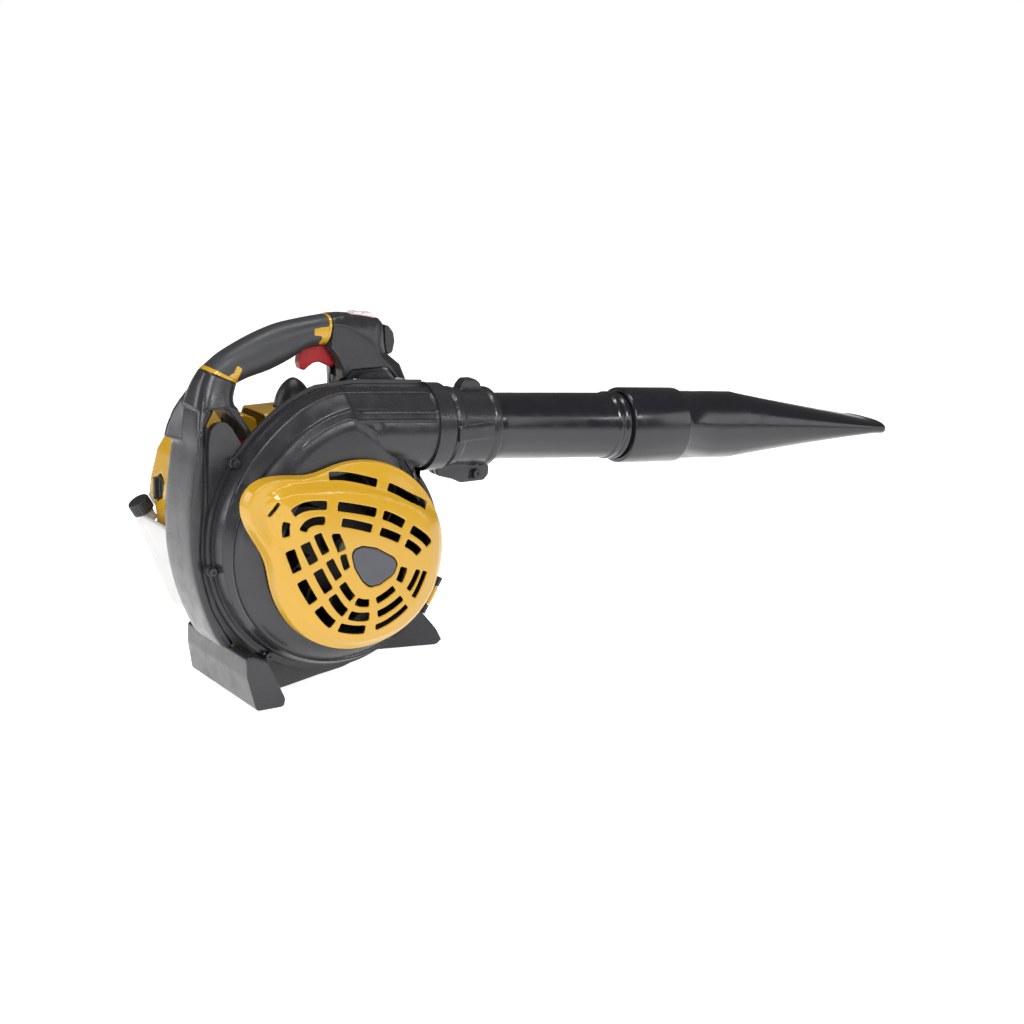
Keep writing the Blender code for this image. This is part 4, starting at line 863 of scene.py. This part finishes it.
# frame: strap, neck with its front leg, and the control head
def frame_body():
    neck = sweep("neck", [(-17, 338, 17, 321, 18.8, 2.6), (-24.5, 326, 13.5, 313.5, 22, 2.7), (-29.5, 314, 11, 306.5, 25, 3.0),
                          (-33.5, 302, 11.5, 299, 28, 3.4)])
    strap = sweep("strap", [(-30, 305, -14, 297, 25, 4.0), (-33.5, 292, -24, 285, 29, 5), (-36.8, 276, -29.5, 272, 33.5, 6),
                            (-38.6, 262, -29.8, 260, 34.8, 7), (-42.4, 244, -30.2, 244, 35, 7), (-46, 222, -30.6, 222, 35, 7), (-48.6, 200, -32.4, 200, 35, 7),
                            (-49.3, 178, -35, 178, 35, 7), (-49, 157, -36.6, 157, 35, 7), (-45.8, 132, -34.2, 132, 35, 7), (-38.6, 103, -26, 100, 35, 7),
                            (-28, 74, -14.5, 77, 35, 7), (-19.5, 58.8, -6.5, 58.8, 35, 7)], 6)
    flare_o = [(-24.8, 316), (-32.4, 304), (-37.6, 293), (-42.5, 280), (-46.4, 267.2), (-36, 262.6), (-30, 285), (-20, 302)]
    flare_i = [(-22, 312), (-27, 304), (-31, 293), (-34, 280), (-37, 267.2), (-33, 264), (-29, 283), (-20, 300)]
    far = [20.5, 26, 31, 34, 34.8, 34.8, 31, 26]
    flare = loft("flare", [[P(x, y, z) for (x, z), y in zip(flare_o, far)], [P(x, y - 5, z) for (x, z), y in zip(flare_o, far)],
                           [P(x, 2, z) for x, z in flare_i]])
    leg = sweep("leg", [(-6, 303, 11.5, 300, 27, 4), (2, 293, 13.5, 291, 29, 5), (8.5, 284.5, 18.5, 282, 31, 5.5), (16, 273, 23.5, 272.5, 32, 6),
                        (20.5, 262.5, 27, 266.5, 33, 6)], 5)
    return [neck, strap, flare, leg]


HEAD_O = [(114.6, 348), (121.5, 381.9), (135, 381.8), (150, 380.2), (163, 377.6), (176, 374), (180.3, 369), (181.6, 360), (182, 350), (183.4, 339),
          (188, 334), (200, 324), (209, 301), (197, 301), (181.5, 322), (174, 323.2), (150, 323.4), (139, 323), (130.5, 316), (128.2, 301.5), (127, 326), (122.5, 337)]
HEAD_C = [(117.5, 348.5), (119.5, 373.4), (133, 370.4), (146, 362), (154, 356.2), (161, 350), (164.5, 346), (166, 343.6), (168, 340), (170.5, 336),
          (173.5, 332.5), (179, 326), (199, 303), (198, 302), (180.5, 323), (174, 324.5), (150, 324.7), (138.5, 324.2), (131.6, 317), (130, 303), (129, 327), (124.5, 338.5)]


def head_half():
    """The control head: a flat cheek with a broad rolled shoulder along its top and front."""
    def row(t, y):
        return [(o[0] + (c[0] - o[0]) * t, o[1] + (c[1] - o[1]) * t, y) for o, c in zip(HEAD_O, HEAD_C)]
    rows = [row(0, -3.0), row(0, -8.0), row(0.05, -10.0), row(0.18, -12.6), row(0.36, -15.0), row(0.56, -17.2), row(0.78, -19.0), row(0.93, -19.9), row(1.0, -20.1)]
    return loft("head", [[P(x, y, z) for x, z, y in r] for r in rows])


def scroll_room(name, off):
    return scroll_solid(name, off, 96, 6)


def make_frame(side):
    parts = frame_body()
    core = [tuple(Vector(o) - (Vector(o) - Vector(i)).normalized() * 4.3) for o, i in GRIP]
    core2 = [tuple(Vector(i) + (Vector(o) - Vector(i)).normalized() * 4.3) for o, i in GRIP]
    top = [(-19, 331)] + core + [(127, 377)]
    bot = [(9, 318)] + core2 + [(122, 351)]
    parts.append(prism("core", top + list(reversed(bot)), -CORE_W + 0.3, CORE_W - 0.3))
    h = head_half()
    h2 = h.copy()
    h2.data = h.data.copy()
    h2.data.transform(Matrix.Scale(-1, 4, (0, 1, 0)))
    h2.data.flip_normals()
    bpy.context.scene.collection.objects.link(h2)
    bridge = prism("bridge", HEAD_O, -4, 4)
    parts += [h, h2, bridge]
    ob = soft("f", parts, 1.25, 7)
    cut(ob, cyl("duct_room", DUCT_R + 8.5, tube_at(60), AX, 170, 96), scroll_room("sr", -2.0),
        block("trigger_slot", (84, -6.9, 318), (137, 6.9, 363.5)), block("switch_seat", (144, -9, 373.8), (184, 9, 395)),
        block("cruise_room", (182.6, -8.4, 330), (215, 8.4, 380)),
        prism("head_hollow", [(129, 364), (150, 356), (158, 346), (166, 336), (176, 328), (192, 303), (188, 296), (134, 296), (132, 328), (129, 345)], -14.5, 14.5))
    # keep this side's half of the frame; the cut leaves a thin parting gap round the middle
    cut(ob, block("half", (-100, 0.15, 0), (300, 60, 420)) if side < 0 else block("half", (-100, -60, 0), (300, -0.15, 420)))
    return ob


for side, tag in ((-1, "left"), (1, "right")):
    ob = make_frame(side)
    ob.data.materials.clear()
    ob.data.materials.append(M_HOUSING)
    ob.name = f"handle_{tag}_moulding"
    shade(ob, 35)
    put(ob, "housing", [f"handle_frame_{tag}"])


# black strip between the strap and the fan housing, painted shade for the shadow gap there, and the closed underside of
# the head
line = [(-28, 288), (-31.5, 262), (-32.6, 226), (-34, 205), (-37.5, 178), (-38.8, 157), (-36.5, 132), (-28.5, 100), (-17, 77), (-6, 60), (8, 50)]
inner = [spot(d, -2.6) for d in range(242, 138, -4)]
# this black strip is painted shade: it fills the shadow gap between the strap and the fan housing
gap_shade_strip = prism("strap_gap_painted_shade", line + inner, -34.4, -30.5, M_BLACK)
edge(gap_shade_strip, 0.6, 2, 50)
shade(gap_shade_strip, 35)
put(gap_shade_strip, "housing", ())
shroud = prism("head_shroud", fillet([(133.5, 300), (134.5, 318), (142, 326), (172, 326), (179, 320), (190, 302), (180, 300), (178, 311.5), (140, 315.5), (138, 300)], 2, 3), -17.2, 17.2, M_BLACK)
edge(shroud, 0.6, 2, 50)
shade(shroud, 35)
put(shroud, "housing", ())


def band(name, stations, half_w, power, mat, fill=0.45, n=64):
    outs, ins = [], []
    rows = spline([(*o, *i, w) for (o, i), w in zip(stations, half_w)], 8, False)
    for r in rows:
        o, i, w = Vector(r[0:2]), Vector(r[2:4]), r[4]
        outs.append(sect(o, i, w, power, n))
        c, d = (o + i) / 2, (o - i) / 2
        h = d.length
        d.normalize()
        hh, ww = h - 4.0 + fill, CORE_W + fill
        ri = []
        for k in range(n):
            a = 2 * math.pi * (k + 0.5) / n
            ca, sa = math.cos(a), math.sin(a)
            s = min(ww / max(abs(ca), 1e-9), hh / max(abs(sa), 1e-9))
            q = c + d * (sa * s)
            ri.append(P(q.x, ca * s, q.y))
        ins.append(ri)
    return loft(name, outs + list(reversed(ins)), mat, wrap=True)


r0, r1 = lerp2(GRIP[0], GRIP[1], 0.0), lerp2(GRIP[0], GRIP[1], 0.185)
g0 = lerp2(GRIP[0], GRIP[1], 0.20)
g1, f0, f1 = lerp2(GRIP[4], GRIP[5], 0.86), lerp2(GRIP[4], GRIP[5], 0.88), lerp2(GRIP[4], GRIP[5], 0.985)
ST = [g0, GRIP[1], GRIP[2], GRIP[3], GRIP[4], g1]
SW = [18.2, 18.6, 19.2, 19.0, 18.2, 18.0]
grip = band("grip_sleeve", ST, SW, 2.4, M_GRIP)
cut(grip, block("slot", (84, -7.2, 318), (136, 7.2, 362)))
shade(grip, 50)
put(grip, "housing", ["handle_grip"])

rear = band("accent_ring_rear_moulding", [r0, r1], [19.0, 19.0], 2.45, M_YELLOW)
skin = band("skin", ST, [w + 0.45 for w in SW], 2.4, None)
tab = prism("tab", fillet([(3, 323), (12, 322), (15.5, 331), (18.5, 337), (13.5, 341.5), (9.5, 334), (3, 331)], 1.5, 3), -26, 26)
boolean(skin, tab, 'INTERSECT')
rear_tab = skin
front = band("accent_ring_front_moulding", [f0, f1], [18.9, 18.9], 2.45, M_YELLOW)
cut(front, block("slot", (84, -7.2, 318), (136, 7.2, 362)))
skin = band("skin", ST[:-1] + [lerp2(GRIP[4], GRIP[5], 0.91)], [w + 0.45 for w in SW], 2.4, None)
tab = prism("tab", fillet([(119, 371.5), (106, 371), (99, 370.2), (98.2, 363.8), (105, 362.8), (108, 360.5), (104.6, 355.5), (107, 352.5), (119, 358)], 1.2, 3), -26, 26)
boolean(skin, tab, 'INTERSECT')
cut(skin, block("slot", (84, -7.4, 318), (136, 7.4, 362)))
front_tab = skin
for body, tb, node in ((rear, rear_tab, "accent_ring_rear"), (front, front_tab, "accent_ring_front")):
    bm = bmesh.new()
    bm.from_mesh(body.data)
    bm.from_mesh(tb.data)
    bm.to_mesh(body.data)
    bm.free()
    drop(tb)
    body.data.materials.clear()
    body.data.materials.append(M_YELLOW)
    shade(body, 40)
    put(body, "housing", [node])

# trigger, stop switch and cruise lever
tr = prism("t", fillet([(89, 348.5), (86.6, 335), (88.4, 328.2), (92.4, 326.8), (96.4, 330), (102, 333.4), (108, 334.2), (114, 332), (120, 328.4), (125, 328), (130, 340),
                        (132.6, 347), (132, 352.4), (128, 354), (110, 351.6)], [3, 6, 3, 3, 4, 8, 8, 6, 3, 2.5, 6, 3, 3, 3, 8], 5), -5.9, 5.9)
cut(tr, cyl("bore", 2.3, P(128, -20, 348), (0, 1, 0), 40, 24))
tr = soft("trigger_moulding", [tr], 0.6, 6, M_RED)
put(tr, "trigger_lever", ["trigger"])
sw = prism("s", fillet([(147.5, 374), (172.5, 374), (172.5, 377.2), (170.5, 379.2), (161.5, 380.4), (160.6, 379.4), (157.4, 379.8), (156.8, 381.4), (149, 382.2), (147.5, 379.4)],
                       [1, 1, 1, 1, 0.6, 0.4, 0.4, 0.6, 1, 1], 3), -7.9, 7.9)
# the switch's pale pink colour is a painted highlight; the switch itself is red
sw = soft("stop_switch_button", [sw], 0.6, 4, M_SWITCH_PAINTED_HIGHLIGHT)
put(sw, "stop_switch", ["kill_switch"])
cr = prism("c", fillet([(183.4, 366), (188, 365), (193.6, 357.5), (195, 348), (192.4, 337), (187, 334.6), (184.4, 340), (183.5, 352)], [1.5, 4, 6, 6, 4, 2, 2, 3], 4), -7.7, 7.7)
cr = soft("cruise_lever_moulding", [cr], 0.6, 6, M_HOUSING)
put(cr, "cruise_arm", ["cruise_lever"])

# ---------------------------------------------------------------- feet
rf = prism("rf", fillet([(-1, 0), (29, 0), (31, 8), (12, 51), (-3, 58), (-11, 57.5), (-10, 35)], [3, 3, 6, 8, 4, 4, 20], 4), -74, 76)
cut(rf, prism("rfh", [(5, 5), (50, 5), (50, 24), (8, 47), (-3, 51)], -70.5, 72.5))
for v in rf.data.vertices:
    if v.co.y > 0:
        v.co.y += 0.016 * max(0, 1 - v.co.z / 0.05)
rf = soft("rear_foot_moulding", [rf], 1.2, 5, M_HOUSING, 0.6)
put(rf, "housing", ["rear_foot"])

# web under the fan housing, from the rear foot towards the front one; the web is real, but its black colour is painted
# shade for the shadow under the housing
low = [(-8, 60), (-3, 34), (22, 4), (31, 4), (50, 6.5), (86, 12.5), (115, 16.5), (142, 25), (153, 33)]
web = prism("foot_web", low + [spot(d, -1.2) for d in range(-64, -150, -4)], -33, -8, M_BLACK)
edge(web, 0.8, 2, 50)
shade(web, 35)
put(web, "housing", ())

TOE = [(168, 0), (262, 0), (268, 5), (262, 18), (250, 34), (241, 45), (226, 46), (213, 39.4), (168, 39.4)]
ff = prism("ff", fillet(TOE, [2, 3, 4, 12, 14, 8, 8, 4, 2], 4), 12, 95)
cut(ff, prism("ffh", [(173, 5), (254, 5), (238, 38), (222, 42), (212, 60), (173, 60)], 50, 91))
nb = prism("nb", [(100, -30), (300, -30), (300, 90), (100, 90)], -60, 20)
for v in nb.data.vertices:
    if v.co.y > 0:
        v.co.y += max(0, (262 - (v.co.x / MM + FOOT_X)) * 0.32) * MM
cut(ff, nb)
ff = soft("front_foot_moulding", [ff], 1.2, 6, M_HOUSING, 0.6)
put(ff, "housing", ["front_foot"])

# ---------------------------------------------------------------- blowing tubes
zt = axis_z(262)
col = lathe("collar", [(40.2, 56), (40.2, 2.4), (38.1, 2.4), (38.1, -18), (35.4, -18), (35.4, 56)], on_line(0), AX, 120, None, True)
union(col, lathe("ra", [(41.6, 12), (41.6, 5), (38, 5), (38, 12)], on_line(0), AX, 120, None, True),
      lathe("rb", [(41.6, 55.5), (41.6, 49), (38, 49), (38, 55.5)], on_line(0), AX, 120, None, True))
union(col, prism("lug", fillet([(249, zt + 30), (250, zt + 44), (256, zt + 51), (268, zt + 50.4), (274, zt + 45), (276, zt + 30)], 6, 4), -47.6, -32.4))
union(col, prism("clamp_a", fillet([(217, zt - 34), (221, zt - 47), (240, zt - 53), (248, zt - 57.5), (276, zt - 58), (282, zt - 52), (282, zt - 42), (276, zt - 36)], 4, 4), -50, -41),
      prism("clamp_b", fillet([(217, zt - 34), (221, zt - 47), (240, zt - 53), (248, zt - 57.5), (276, zt - 58), (282, zt - 52), (282, zt - 42), (276, zt - 36)], 4, 4), -39, -30))
cut(col, block("slit", (200, -41.0, zt - 70), (300, -39.0, zt - 30)), cyl("keep", 35.4, on_line(-30), AX, 120, 120),
    cyl("clamp_bore", 2.3, P(266, -60, zt - 49), (0, 1, 0), 40, 24))
# side rib along the clamp
rib = block("rib", (229, -83.0, axis_z(250) - 7), (270, -76, axis_z(250) + 7))
union(col, rib)
cut(col, cyl("keep2", 35.4, on_line(-30), AX, 120, 120),
    prism("tri", [(255.5, zt - 53), (262, zt - 44.5), (267.5, zt - 53)], -52, -48.5))
col = soft("tube_clamp", [col], 0.95, 4, M_HOUSING, 0.6)
put(col, "housing", ["outlet_collar"])

prof = [(TUBE_R, 276)]
for z, r in ((224, TUBE_R), (221.5, TUBE_R), (219.8, 36.6), (216, 36.6), (214.4, TUBE_R), (211.6, TUBE_R), (210.2, 36.6), (206.2, 36.6), (204.4, TUBE_R),
             (66, TUBE_R), (64.5, TUBE_R + 0.25), (62.5, TUBE_R)):
    prof.append((r, z))
prof += [(TUBE_R, -14), (32.8, -14), (32.8, 276)]
ut = lathe("upper_blowing_tube", prof, on_line(0), AX, 144, M_TUBE, True)
edge(ut, 0.6, 2, 25)
shade(ut, 50)
put(ut, "housing", ["upper_tube"])


def section(z, hw, hh, power, n=96):
    c = on_line(z)
    out = []
    for k in range(n):
        a = 2 * math.pi * k / n
        ca, sa = math.cos(a), math.sin(a)
        x = math.copysign(abs(ca) ** (2 / power), ca) * hw
        z_ = math.copysign(abs(sa) ** (2 / power), sa) * hh
        out.append(c + Vector((0, x * MM, 0)) + UP * z_ * MM)
    return out


NOZZLE_END = (796 - 226) / AX.x
st = [(223, 39.6, 39.6, 2), (223.8, 40.6, 40.6, 2), (225.2, 41, 41, 2), (262, 41, 41, 2), (294, 41, 41, 2), (296.4, 40.6, 40.6, 2), (298, 38.6, 38.6, 2),
      (300, 37.5, 37.5, 2), (340, 37.2, 37.2, 2), (374, 37, 37, 2)]
for k in range(1, 41):
    t = k / 40
    z = 374 + (NOZZLE_END - 374) * t
    hh = 37 + (8.4 - 37) * min(1, t * 1.06) ** 0.94
    st.append((z, 37 + 3.5 * t ** 1.6, hh, 2 + 0.8 * t))
lip = st[-1]
outer = [section(*s) for s in st[:-1]] + [section(lip[0] - 0.8, lip[1], lip[2], lip[3]), section(lip[0], lip[1] - 0.7, lip[2] - 0.7, lip[3])]
inner = [section(223, 36.8, 36.8, 2), section(277, 36.8, 36.8, 2), section(278, 35, 35, 2), section(300, 35, 35, 2), section(374, 34.8, 34.8, 2)]
for z, hw, hh, p in st[10:]:
    inner.append(section(z, hw - 2.0, hh - 2.0, p))
nz = loft("nozzle_moulding", outer + list(reversed(inner)), M_TUBE, wrap=True)
shade(nz, 45)
put(nz, "nozzle", ["nozzle_tube"])


# bayonet bumps on the socket, one pair on each side
def bump(name, s0, s1, a0, w, r0, h, body):
    rings = []
    m = 10
    for i in range(m + 1):
        t = i / m
        z = s0 + (s1 - s0) * t
        e = math.sin(math.pi * t) ** 0.35
        row = []
        for k in range(12):
            a = math.radians(a0) + math.radians(w) * math.cos(2 * math.pi * k / 12)
            rr = r0 + h * e * (0.5 + 0.5 * math.sin(2 * math.pi * k / 12))
            row.append(on_line(z) + (Vector((0, -math.cos(a), 0)) + UP * math.sin(a)) * rr * MM)
        rings.append(row)
    ob = loft(name, rings, M_TUBE)
    shade(ob, 60)
    return put(ob, body, ())


for k, (s0, s1, r0_) in enumerate(((233, 245, 40.4), (284, 294, 40.4))):
    for q, ang in enumerate((24, 204)):
        bump(f"bayonet_boss_{k}_{q}", s0, s1, ang, 4.5, r0_, 0.55, "nozzle")

# ---------------------------------------------------------------- engine side covers
cover_pts = fillet([(-33, 155), (-32, 180), (-28.6, 204), (-19.5, 236), (-4, 258), (8, 274), (46, 279), (58, 273), (60, 260), (60, 240), (40, 176), (-8, 172), (-28, 155)],
                   [3, 10, 20, 14, 14, 10, 8, 6, 4, 4, 8, 10, 2], 5)
cover = prism("cov", cover_pts, 39, 120)
edge(cover, 7, 4, 60)
cut(cover, prism("room", [(-24, 177), (-14.5, 230), (2, 253), (13, 270), (46, 274), (54, 269), (90, 240), (90, 181)], 43, 116))


def hex_pts(cy, cz, r):
    return [(cy + r * math.cos(math.radians(60 * k + 30)), cz + r * math.sin(math.radians(60 * k + 30))) for k in range(6)]


cut(cover, yz_prism("win", fillet(hex_pts(97, 199, 15), 2, 3), -60, -10), cyl("cap", 15.8, P(-27, 112, 151.2), (-0.5, 0, 0.866), 60, 64))
# cooling slots in the cover's outer side
for k in range(4):
    cut(cover, prism("vent", fillet([(-6 + 3 * k, 196 + 14 * k), (34, 196 + 14 * k), (34, 202 + 14 * k), (-5 + 3 * k, 202 + 14 * k)], 2.5, 3), 112, 130))
cover = soft("filter_cover_moulding", [cover], 1.2, 5, M_YELLOW, 0.6)
put(cover, "housing", ["air_filter_cover"])

kn = yz_prism("kn", fillet(hex_pts(97, 199, 12.4), 2, 3), -34, -20)
cut(kn, yz_prism("ka", [(85, 183), (94.5, 183), (94.5, 215), (85, 215)], -60, -28), yz_prism("kb", [(99.5, 183), (109, 183), (109, 215), (99.5, 215)], -60, -28))
kn = soft("cover_knob_moulding", [kn], 0.7, 4, M_BLACK)
put(kn, "filter_knob", ["filter_cover_knob"])
ch = prism("ch", fillet([(41, 243), (46, 243), (48, 248), (45, 252), (33, 263), (28, 264), (28, 259), (39, 248)], [1, 1, 2, 2, 2, 2, 2, 2], 3), 30.2, 38.4)
ch = soft("choke_lever_moulding", [ch], 0.6, 4, M_RED)
put(ch, "choke_arm", ["choke_lever"])

TANKP = [(-7, 66), (-18, 94), (-32, 130), (-44, 160), (-46, 170), (-40, 170), (-34.5, 152), (50, 152), (58, 146), (58, 72), (50, 62), (0, 62)]
tank = prism("tk", fillet(TANKP, [6, 10, 10, 6, 2, 2, 2, 6, 6, 8, 8, 8], 4), 40, 126)
edge(tank, 4.5, 3, 60)
NECK = P(-37, 112, 168.5)
ND = Vector((-0.5, 0, 0.866)).normalized()
union(tank, cyl("neck", 8.6, NECK - ND * 0.008, ND, 17, 48))
for k in range(3):
    union(tank, ring("thread", 8.2, 9.1, NECK + ND * (0.0015 + 0.0026 * k), ND, 1.0, 48))
cut(tank, cyl("neck_bore", 6.2, NECK - ND * 0.004, ND, 30, 48))
union(tank, prism("seam", fillet(TANKP, [6, 10, 10, 6, 2, 2, 2, 6, 6, 8, 8, 8], 4), 82.2, 83.8))
tank = soft("fuel_tank_moulding", [tank], 1.2, 5, M_TANK, 0.6)
put(tank, "housing", ["fuel_tank"])
NK = NECK + ND * 0.0052
cap = lathe("cap", [(0, 14), (9.2, 14), (11.0, 13.2), (11.8, 11.6), (11.8, 0.4), (11.4, 0), (9.3, 0), (9.3, 11), (0, 11)], NK, ND, 96, M_BLACK)
q = ND.to_track_quat('Z', 'Y').to_matrix()
for k in range(20):
    a = 2 * math.pi * k / 20
    cut(cap, cyl("notch", 1.1, NK + q @ Vector((12.2 * math.cos(a) * MM, 12.2 * math.sin(a) * MM, -0.002)), ND, 16, 10))
shade(cap, 35)
put(cap, "tank_cap", ["fuel_cap"])

# cap over the spark plug, cowl, guard
dome = [(0, 308.4)]
for k in range(1, 17):
    t = (k / 16) ** 1.35
    dome.append((20.6 * (1 - (1 - t) ** 1.75) ** 0.62, 308.4 - 30.4 * t))
dome += [(20.9, 276), (20.9, 268), (18, 268), (18, 278)]
for k in range(14, 0, -1):
    t = (k / 16) ** 1.35
    dome.append((17.9 * (1 - (1 - t) ** 1.75) ** 0.62, 305.6 - 28 * t))
dome.append((0, 305.6))
dm = lathe("plug_cap_moulding", dome, P(CX, ENG_Y, 0), (0, 0, 1), 72, M_BLACK)
shade(dm, 45)
put(dm, "housing", ["spark_plug_cap"])

cowl_o = fillet([(22, 204), (22, 266), (32, 279), (86, 279), (95, 266), (95, 204)], [0, 8, 8, 8, 8, 0], 5, False)
inn = fillet([(24.5, 204), (24.5, 265), (33, 276.5), (85, 276.5), (92.5, 265), (92.5, 204)], [0, 7, 7, 7, 7, 0], 5, False)
cw = yz_prism("cw", cowl_o + list(reversed(inn)), 64, 146)
cut(cw, cyl("cap_room", 21, P(CX, ENG_Y, 270), (0, 0, 1), 40, 64), block("lead_room", (128, 14, 262), (150, 40, 296)))
for k in range(5):
    cut(cw, block("louvre", (74 + 13 * k, 88, 212), (81 + 13 * k, 99, 252)))
cw = soft("engine_cowl_moulding", [cw], 0.95, 3, M_YELLOW, 0.6)
put(cw, "housing", ["engine_cowl"])

mg = block("mg", (150, 28, 194), (196, 90, 268), None, 5, 3)
cut(mg, block("a", (100, 31, 197), (192.5, 87, 265)))
for k in range(5):
    cut(mg, block("b", (185, 36 + 10.4 * k, 205), (205, 41.5 + 10.4 * k, 255)))
cut(mg, block("c", (140, 20, 190), (158, 33, 275)))
mg = soft("muffler_guard_moulding", [mg], 1.1, 4, M_BLACK, 0.6)
put(mg, "housing", ["muffler_guard"])

# ---------------------------------------------------------------- recoil starter
ST_Y0, ST_Y1 = ENG_Y + 27, ENG_Y + 66
PULL = Vector((math.cos(math.radians(50)), 0, math.sin(math.radians(50))))
PN = Vector((-PULL.z, 0, PULL.x))
start = P(CX, ENG_Y + 50, CZ) + PN * 0.020
sh = lathe("sh", [(0, 39), (38, 39), (42, 37.6), (44.8, 35), (46, 31), (46, 0), (43.2, 0), (43.2, 32), (41, 34.6), (37, 36.2), (5, 36.2), (5, 12), (0, 12)],
           P(CX, ST_Y0, CZ), (0, 1, 0), 120)
for k in range(16):
    a = math.radians(22.5 * k + 10)
    c = Vector((math.cos(a), math.sin(a)))
    t_ = Vector((-c.y, c.x))
    pts = [tuple(Vector((CX, CZ)) + c * r + t_ * w) for r, w in ((16, -1.2), (35, -2.6), (35, 2.6), (16, 1.2))]
    cut(sh, prism("vent", fillet(pts, 1.1, 2), ST_Y1 - 10, ST_Y1 + 20))
cut(sh, cyl("exit", 4.0, start + PULL * 0.020, PULL, 60, 32))
union(sh, ring("exit_lip", 3.9, 6.4, start + PULL * 0.0395, PULL, 2.6, 32))
for k in range(4):
    a = math.radians(90 * k + 45)
    union(sh, cyl("ear", 5.4, P(CX + 44 * math.cos(a), ST_Y0 + 0.2, CZ + 44 * math.sin(a)), (0, 1, 0), 5, 24))
cut(sh, cyl("inside", 43.2, P(CX, ST_Y0 - 1, CZ), (0, 1, 0), 12, 120))
sh = soft("starter_cover_moulding", [sh], 0.95, 3, M_HOUSING, 0.6)
put(sh, "housing", ["starter_housing"])
HD = start + PULL * 0.0605
hp_ = fillet([(0, 30), (5.2, 30), (7.4, 25), (8, 10), (7.2, 0), (8, -10), (7.4, -25), (5.2, -30), (0, -30)], [0, 3, 5, 20, 20, 20, 5, 3, 0], 5, False)
th = lathe("th", hp_, HD, PN, 64)
union(th, cyl("sock", 4.4, start + PULL * 0.0525, PULL, 8, 40))
th = soft("starter_handle_moulding", [th], 0.7, 4, M_BLACK)
put(th, "starter_grip", ["starter_handle"])

# braided rope, drawn out of the housing with its handle
rope_a, rope_b = start + PULL * 0.030, start + PULL * 0.0535
rings = []
for i in range(121):
    t = i / 120
    c = rope_a + (rope_b - rope_a) * t
    rings.append([c + (PN * math.cos(a) + Vector((0, 1, 0)) * math.sin(a)) * (1.35 + 0.12 * math.cos(4 * a + 22 * t)) * MM
                  for a in [2 * math.pi * k / 16 for k in range(16)]])
rp = loft("starter_rope_line", rings, M_RUBBER)
shade(rp, 60)
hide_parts("starter_rope")
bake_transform(rp)

# ---------------------------------------------------------------- floor and light
bm = bmesh.new()
bmesh.ops.create_grid(bm, x_segments=1, y_segments=1, size=60)
floor = add("floor", bm, None, False)
floor.location = (0.3, 0, -0.0004)
fm = bpy.data.materials.new("floor")
fm.use_nodes = True
fb = fm.node_tree.nodes["Principled BSDF"]
fb.inputs["Base Color"].default_value = (0.92, 0.92, 0.92, 1)
fb.inputs["Roughness"].default_value = 0.9
fb.inputs["Specular IOR Level"].default_value = 0.1
fb.inputs["Emission Color"].default_value = (1, 1, 1, 1)
fb.inputs["Emission Strength"].default_value = 0.90
floor.data.materials.append(fm)

world = bpy.data.worlds.new("world")
bpy.context.scene.world = world
world.use_nodes = True
world.node_tree.nodes["Background"].inputs["Color"].default_value = (1, 1, 1, 1)
world.node_tree.nodes["Background"].inputs["Strength"].default_value = 0.11


def area(name, loc, target, size, power, col=(1, 1, 1)):
    d = bpy.data.lights.new(name, 'AREA')
    d.shape = 'RECTANGLE'
    d.size, d.size_y = size
    d.energy = power
    d.color = col
    o = bpy.data.objects.new(name, d)
    bpy.context.scene.collection.objects.link(o)
    o.location = loc
    o.rotation_euler = (Vector(target) - Vector(loc)).to_track_quat('-Z', 'Y').to_euler()
    return o


area("key", (-0.8, -1.7, 2.0), (0.2, 0, 0.2), (0.8, 0.6), 30)
area("strip_front", (0.7, -1.9, 1.25), (0.35, 0, 0.22), (1.5, 0.12), 12)
area("strip_left", (-1.5, -0.9, 0.75), (0.0, 0, 0.2), (0.12, 1.2), 12)
area("fill", (1.9, -1.3, 0.8), (0.3, 0, 0.2), (0.9, 0.9), 5)
area("top", (0.3, 0.1, 2.3), (0.3, 0, 0.2), (1.6, 0.3), 22)
area("rim", (-1.5, 1.1, 0.9), (0.0, 0, 0.2), (0.5, 1.2), 9)
